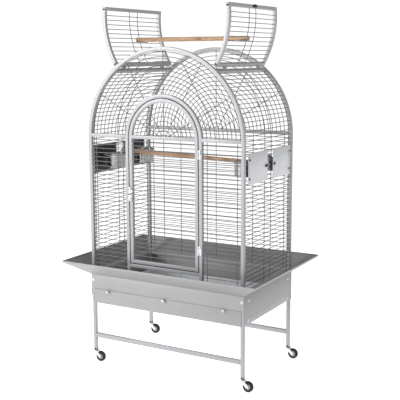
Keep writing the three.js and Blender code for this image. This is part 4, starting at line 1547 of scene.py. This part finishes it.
# ---- Feeders -------------------------------------------------------------
@dataclass
class Feeder:
    """One swing-out feeder door with its ring and its steel cup."""

    side: Side
    end: End
    finishes: Finishes
    ring_bar: float = 0.005
    hook_spread: float = 0.050

    @property
    def body(self) -> str:
        """The CAD body that it moves with."""
        return f"feeder_{self.end.label}_{self.side.label}"

    def build(self) -> None:
        """Builds and dresses the feeder."""
        label = f"{self.end.label}_{self.side.label}"
        low, high = (Vector(v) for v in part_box(f"feeder_door_{label}"))
        cup_low, cup_high = (Vector(v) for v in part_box(f"feeder_cup_{label}"))
        out = self.side.value
        face = high.x if out > 0 else low.x
        plate = block("plate", *self._ordered((face - out * 0.0019, low.y, low.z), (face, high.y, high.z)),
                      edge=0.0007)
        hoop_piece = self._ring(cup_low, cup_high)
        middle = (cup_low + cup_high) / 2
        ring_z = cup_high.z - 0.0125
        reach = middle.x + out * ((cup_high.y - cup_low.y) / 2 - 0.004 + 0.0030)
        arm = block("arm", *self._ordered((reach, middle.y - 0.015, ring_z - 0.0022),
                                          (face - out * 0.001, middle.y + 0.015, ring_z + 0.0022)),
                                          edge=0.0008)
        dress(weld(f"feeder_plate_{label}", [plate, hoop_piece, arm]), self.body, "powder_coat",
              self.finishes.plate,
              f"feeder_door_{label}")
        # Painted shade: a near-black sheet just inside the plate stands for the plate's shaded inner face.
        lining = block(f"feeder_lining_{label}",
                       *self._ordered((face - out * 0.0033, low.y + 0.012, low.z + 0.010),
                                      (face - out * 0.0017, high.y - 0.012, high.z - 0.010)), edge=0.0006)
        dress(lining, self.body, "black_plastic", self.finishes.lining)
        self._cup(label, cup_low, cup_high)
        self._hardware(label, face, low, high)

    @staticmethod
    def _ordered(a: Sequence[float], b: Sequence[float]) -> tuple[Point, Point]:
        """Two corners with every coordinate in rising order."""
        pairs = [sorted(pair) for pair in zip(a, b)]
        return tuple(p[0] for p in pairs), tuple(p[1] for p in pairs)

    def _ring(self, cup_low: Vector, cup_high: Vector) -> Piece:
        """The flat ring that carries the cup.

        Args:
            cup_low: the cup's lowest corner.
            cup_high: the cup's highest corner.

        Returns:
            The ring.
        """
        middle = (cup_low + cup_high) / 2
        inner = (cup_high.x - cup_low.x) / 2 - 0.004 + 0.0012
        outer = inner + self.ring_bar
        z = cup_high.z - 0.0148
        profile = [(inner, 0.0006), (inner + 0.0006, 0.0), (outer - 0.0006, 0.0), (outer, 0.0006),
                   (outer, 0.0040), (outer - 0.0006, 0.0046), (inner + 0.0006, 0.0046), (inner, 0.0040)]
        return turned("ring", profile, (middle.x, middle.y, z), 48)

    def _cup(self, label: str, low: Vector, high: Vector) -> None:
        """The drawn steel cup with its rolled rim.

        Args:
            label: the feeder's own name.
            low: the CAD cup's lowest corner.
            high: its highest corner.
        """
        rim = (high.x - low.x) / 2
        wall = rim - 0.004
        tall = high.z - low.z
        profile = [(0.00001, 0.0010), (wall - 0.012, 0.0010), (wall - 0.010, 0.0), (wall - 0.006, 0.0),
                   (wall - 0.002, 0.0018), (wall - 0.0003, 0.0060), (wall, 0.0120), (wall, tall - 0.008),
                   (wall + 0.0006, tall - 0.0046)]
        for step in range(7):
            angle = math.radians(-120 + 45 * step)
            profile.append((rim - 0.0021 + 0.0019 * math.cos(angle),
                            tall - 0.0021 + 0.0019 * math.sin(angle)))
        profile += [(wall - 0.0010, tall - 0.006), (wall - 0.0010, 0.0124), (wall - 0.0013, 0.0066),
                    (wall - 0.0030, 0.0030), (wall - 0.0066, 0.0016), (wall - 0.012, 0.0022),
                    (0.00001, 0.0022)]
        middle = (low + high) / 2
        cup = turned(f"cup_{label}", profile, (middle.x, middle.y, low.z), 56)
        dress(cup, self.body, "stainless", self.finishes.stainless, f"feeder_cup_{label}")

    def _hardware(self, label: str, face: float, low: Vector, high: Vector) -> None:
        """The hinge rod, the hooks that hold it, the screws and the turn latch.

        Args:
            label: the feeder's own name.
            face: the plate's outer face.
            low: the plate's lowest corner.
            high: its highest corner.
        """
        out = self.side.value
        toward = self.end.value
        edge_y = low.y if self.end is End.FRONT else high.y
        hinge_y = edge_y - toward * 0.012
        x = face + out * 0.0026
        z0, z1 = low.z + 0.020, high.z - 0.020
        steel = [rod("hinge_rod", (x, hinge_y, z0), (x, hinge_y, z1), 0.0019, 12)]
        for z in (z0, z1):
            steel.append(rod("hinge_foot", (x, hinge_y, z), (x, hinge_y - toward * 0.014, z), 0.0019, 12))
        seed = bolt_head("screw_seed", 0.0030, (float(out), 0.0, 0.0))
        middle = (low + high) / 2
        for y in (middle.y - 0.018, middle.y + 0.018):
            steel.append(copied(seed, "screw",
                                Matrix.Translation((face - out * 0.0001, y, middle.z + 0.012))))
        dress(weld(f"feeder_steel_{label}", steel), self.body, "chrome", self.finishes.chrome)
        hooks = []
        for z in (middle.z - self.hook_spread, middle.z + self.hook_spread):
            hooks.append(block("hook", *self._ordered((face, hinge_y - 0.005, z - 0.004),
                                                      (face + out * 0.0062, hinge_y + 0.005, z + 0.004)),
                                                      edge=0.0012))
        latch_y = middle.y - toward * (high.y - middle.y - 0.020)
        hooks.append(block("turn_plate", *self._ordered((face, latch_y - 0.008, middle.z - 0.008),
                                                        (face + out * 0.0022, latch_y + 0.008,
                                                         middle.z + 0.008)),
                           edge=0.0008))
        hooks.append(block("turn_arm", *self._ordered((face + out * 0.0022, latch_y + toward * 0.004,
                                                       middle.z - 0.006),
                                                      (face + out * 0.0058, latch_y - toward * 0.015,
                                                       middle.z + 0.006)),
                           edge=0.0015))
        dress(weld(f"feeder_hooks_{label}", hooks), self.body, "black_plastic", self.finishes.black)
        bpy.data.objects.remove(seed)


# ---- Casters -------------------------------------------------------------
@dataclass
class Caster:
    """One swivel caster: its stem, hood, fork and wheel."""

    side: Side
    end: End
    finishes: Finishes
    tyre_round: float = 0.0038
    hub_radius: float = 0.0155

    def build(self) -> None:
        """Builds and dresses the caster."""
        label = f"{self.end.label}_{self.side.label}"
        fork_node = f"caster_fork_{label}"
        wheel_node = f"caster_wheel_{label}"
        low, high = (Vector(v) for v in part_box(wheel_node))
        axle = (low + high) / 2
        radius = (high.z - low.z) / 2
        half = (high.y - low.y) / 2
        fork = rounded_copy(fork_node, "fork_body", 0.0006)
        fork_low, fork_high = (Vector(v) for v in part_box(fork_node))
        stem_x = axle.x - 0.034
        collar = turned("collar", [(0.00001, 0.0), (0.0098, 0.0), (0.0108, 0.0012), (0.0096, 0.0040),
                                   (0.0072, 0.0052),
                                   (0.00001, 0.0052)], (stem_x, axle.y, fork_high.z - 0.0060), 28)
        nut = bolt_head("axle_nut", 0.0046, (0.0, -1.0, 0.0))
        place = Matrix.Translation((axle.x, fork_low.y + 0.0004, axle.z))
        front = copied(nut, "axle_end", place)
        flip = Matrix.Translation((axle.x, fork_high.y - 0.0004, axle.z)) @ Matrix.Rotation(math.pi, 4, "Z")
        rear = copied(nut, "axle_end", flip)
        bpy.data.objects.remove(nut)
        dress(weld(f"fork_{label}", [fork, collar, front, rear]), f"caster_{label}", "chrome",
              self.finishes.chrome,
              fork_node)
        self._wheel(label, wheel_node, axle, radius, half)

    def _wheel(self, label: str, node: str, axle: Vector, radius: float, half: float) -> None:
        """The tyre and its hub.

        Args:
            label: the caster's own name.
            node: the CAD wheel.
            axle: the wheel's middle.
            radius: its radius.
            half: half its width.
        """
        r = self.tyre_round
        profile = [(self.hub_radius, -half + 0.0015), (radius - 0.007, -half + 0.0008), (radius - r, -half)]
        for step in range(1, 5):
            angle = math.radians(-90 + 90 * step / 4)
            profile.append((radius - r + r * math.cos(angle), -half + r + r * math.sin(angle)))
        for step in range(4):
            angle = math.radians(90 * step / 4)
            profile.append((radius - r + r * math.cos(angle), half - r + r * math.sin(angle)))
        profile += [(radius - r, half), (radius - 0.007, half - 0.0008), (self.hub_radius, half - 0.0015)]
        tyre = turned(f"tyre_{label}", profile, tuple(axle), 56, (0.0, 1.0, 0.0))
        dress(tyre, f"wheel_{label}", "wheel_rubber", self.finishes.rubber, node)
        h = self.hub_radius
        hub_profile = [(0.0044, -half + 0.0006), (0.0070, -half + 0.0006), (0.0078, -half + 0.0028),
                       (h - 0.0024, -half + 0.0034), (h - 0.0012, -half + 0.0012),
                       (h + 0.0003, -half + 0.0012),
                       (h + 0.0003, half - 0.0012), (h - 0.0012, half - 0.0012), (h - 0.0024, half - 0.0034),
                       (0.0078, half - 0.0028), (0.0070, half - 0.0006), (0.0044, half - 0.0006)]
        hub = turned(f"hub_{label}", hub_profile, tuple(axle), 48, (0.0, 1.0, 0.0))
        dress(hub, f"wheel_{label}", "black_plastic", self.finishes.hub)


# ---- Studio --------------------------------------------------------------
@dataclass
class Studio:
    """The pale floor, the soft lights and the camera."""

    place: Point = (2.4772, -4.2165, 1.7904)
    pitch: float = math.radians(90.0 - 9.57)
    heading: float = 0.5212
    roll: float = -0.0036
    lens: float = 76.6
    surround: float = 0.38
    backdrop: float = 1.05
    softboxes: tuple[tuple[str, Point, float, float], ...] = field(default=(
        ("key", (-4.0, -5.8, 2.6), 2.4, 330.0),
        ("fill", (4.6, -0.8, 2.6), 2.0, 24.0),
        ("top", (-0.4, 0.2, 5.0), 2.4, 22.0),
    ))

    def build(self) -> None:
        """Builds the studio."""
        self._floor()
        self._lights()
        self._camera()

    def _floor(self) -> None:
        """A wide pale floor just under the wheels."""
        deselect()
        bpy.ops.mesh.primitive_plane_add(size=60.0, location=(0.0, 0.0, -0.0005))
        floor = settle(bpy.context.object, "studio_floor")
        bench = ShaderBench("studio_floor")
        grain = bench.noise(3.0, 2.0)
        bench.feed("Base Color", bench.blend(grain, (0.97, 0.97, 0.97), (0.95, 0.95, 0.95)))
        bench.feed("Roughness", 0.9)
        bench.feed("Emission Color", (1.0, 1.0, 1.0, 1.0))
        bench.feed("Emission Strength", 0.70)
        floor.data.materials.append(bench.material)

    def _lights(self) -> None:
        """An even white surround and three soft lights."""
        world = bpy.data.worlds.new("surround")
        bpy.context.scene.world = world
        world.use_nodes = True
        tree = world.node_tree
        background = tree.nodes["Background"]
        background.inputs["Color"].default_value = (1.0, 1.0, 1.0, 1.0)
        path = tree.nodes.new("ShaderNodeLightPath")
        level = tree.nodes.new("ShaderNodeMapRange")
        level.inputs["To Min"].default_value = self.surround
        level.inputs["To Max"].default_value = self.backdrop
        tree.links.new(path.outputs["Is Camera Ray"], level.inputs["Value"])
        tree.links.new(level.outputs[0], background.inputs["Strength"])
        bpy.context.scene.view_settings.view_transform = "Standard"
        for name, place, size, power in self.softboxes:
            lamp = bpy.data.lights.new(f"softbox_{name}", "AREA")
            lamp.size = size
            lamp.energy = power
            holder = bpy.data.objects.new(f"softbox_{name}", lamp)
            bpy.context.collection.objects.link(holder)
            holder.location = place
            toward = Vector((0.0, 0.0, 1.0)) - Vector(place)
            holder.rotation_euler = toward.to_track_quat("-Z", "Y").to_euler()

    def _camera(self) -> None:
        """The camera at the eye of someone standing before the cage."""
        lens = bpy.data.cameras.new("eye")
        lens.lens = self.lens
        lens.sensor_width = 36.0
        lens.sensor_fit = "HORIZONTAL"
        lens.clip_end = 200.0
        eye = bpy.data.objects.new("eye", lens)
        bpy.context.collection.objects.link(eye)
        turn = Matrix.Rotation(self.heading, 4, "Z") @ Matrix.Rotation(self.pitch, 4, "X")
        eye.matrix_world = Matrix.Translation(self.place) @ turn @ Matrix.Rotation(self.roll, 4, "Z")
        bpy.context.scene.camera = eye


def main() -> None:
    """Builds the whole cage in order."""
    logging.basicConfig(level=logging.INFO, format="%(name)s: %(message)s")
    finishes = Finishes()
    sizes = CageSizes.measured()
    Studio().build()
    Stand(sizes, finishes).build()
    SheetBase(finishes).build()
    Drawer(finishes).build()
    ArchFrames(sizes, finishes).build()
    WireWork(sizes, finishes).build()
    SidePanels(sizes, finishes).build()
    Vault(sizes, finishes).build()
    Door(sizes, finishes).build()
    Perches(finishes).build()
    for side in Side:
        for end in End:
            Feeder(side, end, finishes).build()
            Caster(side, end, finishes).build()


if __name__ == "__main__":
    main()
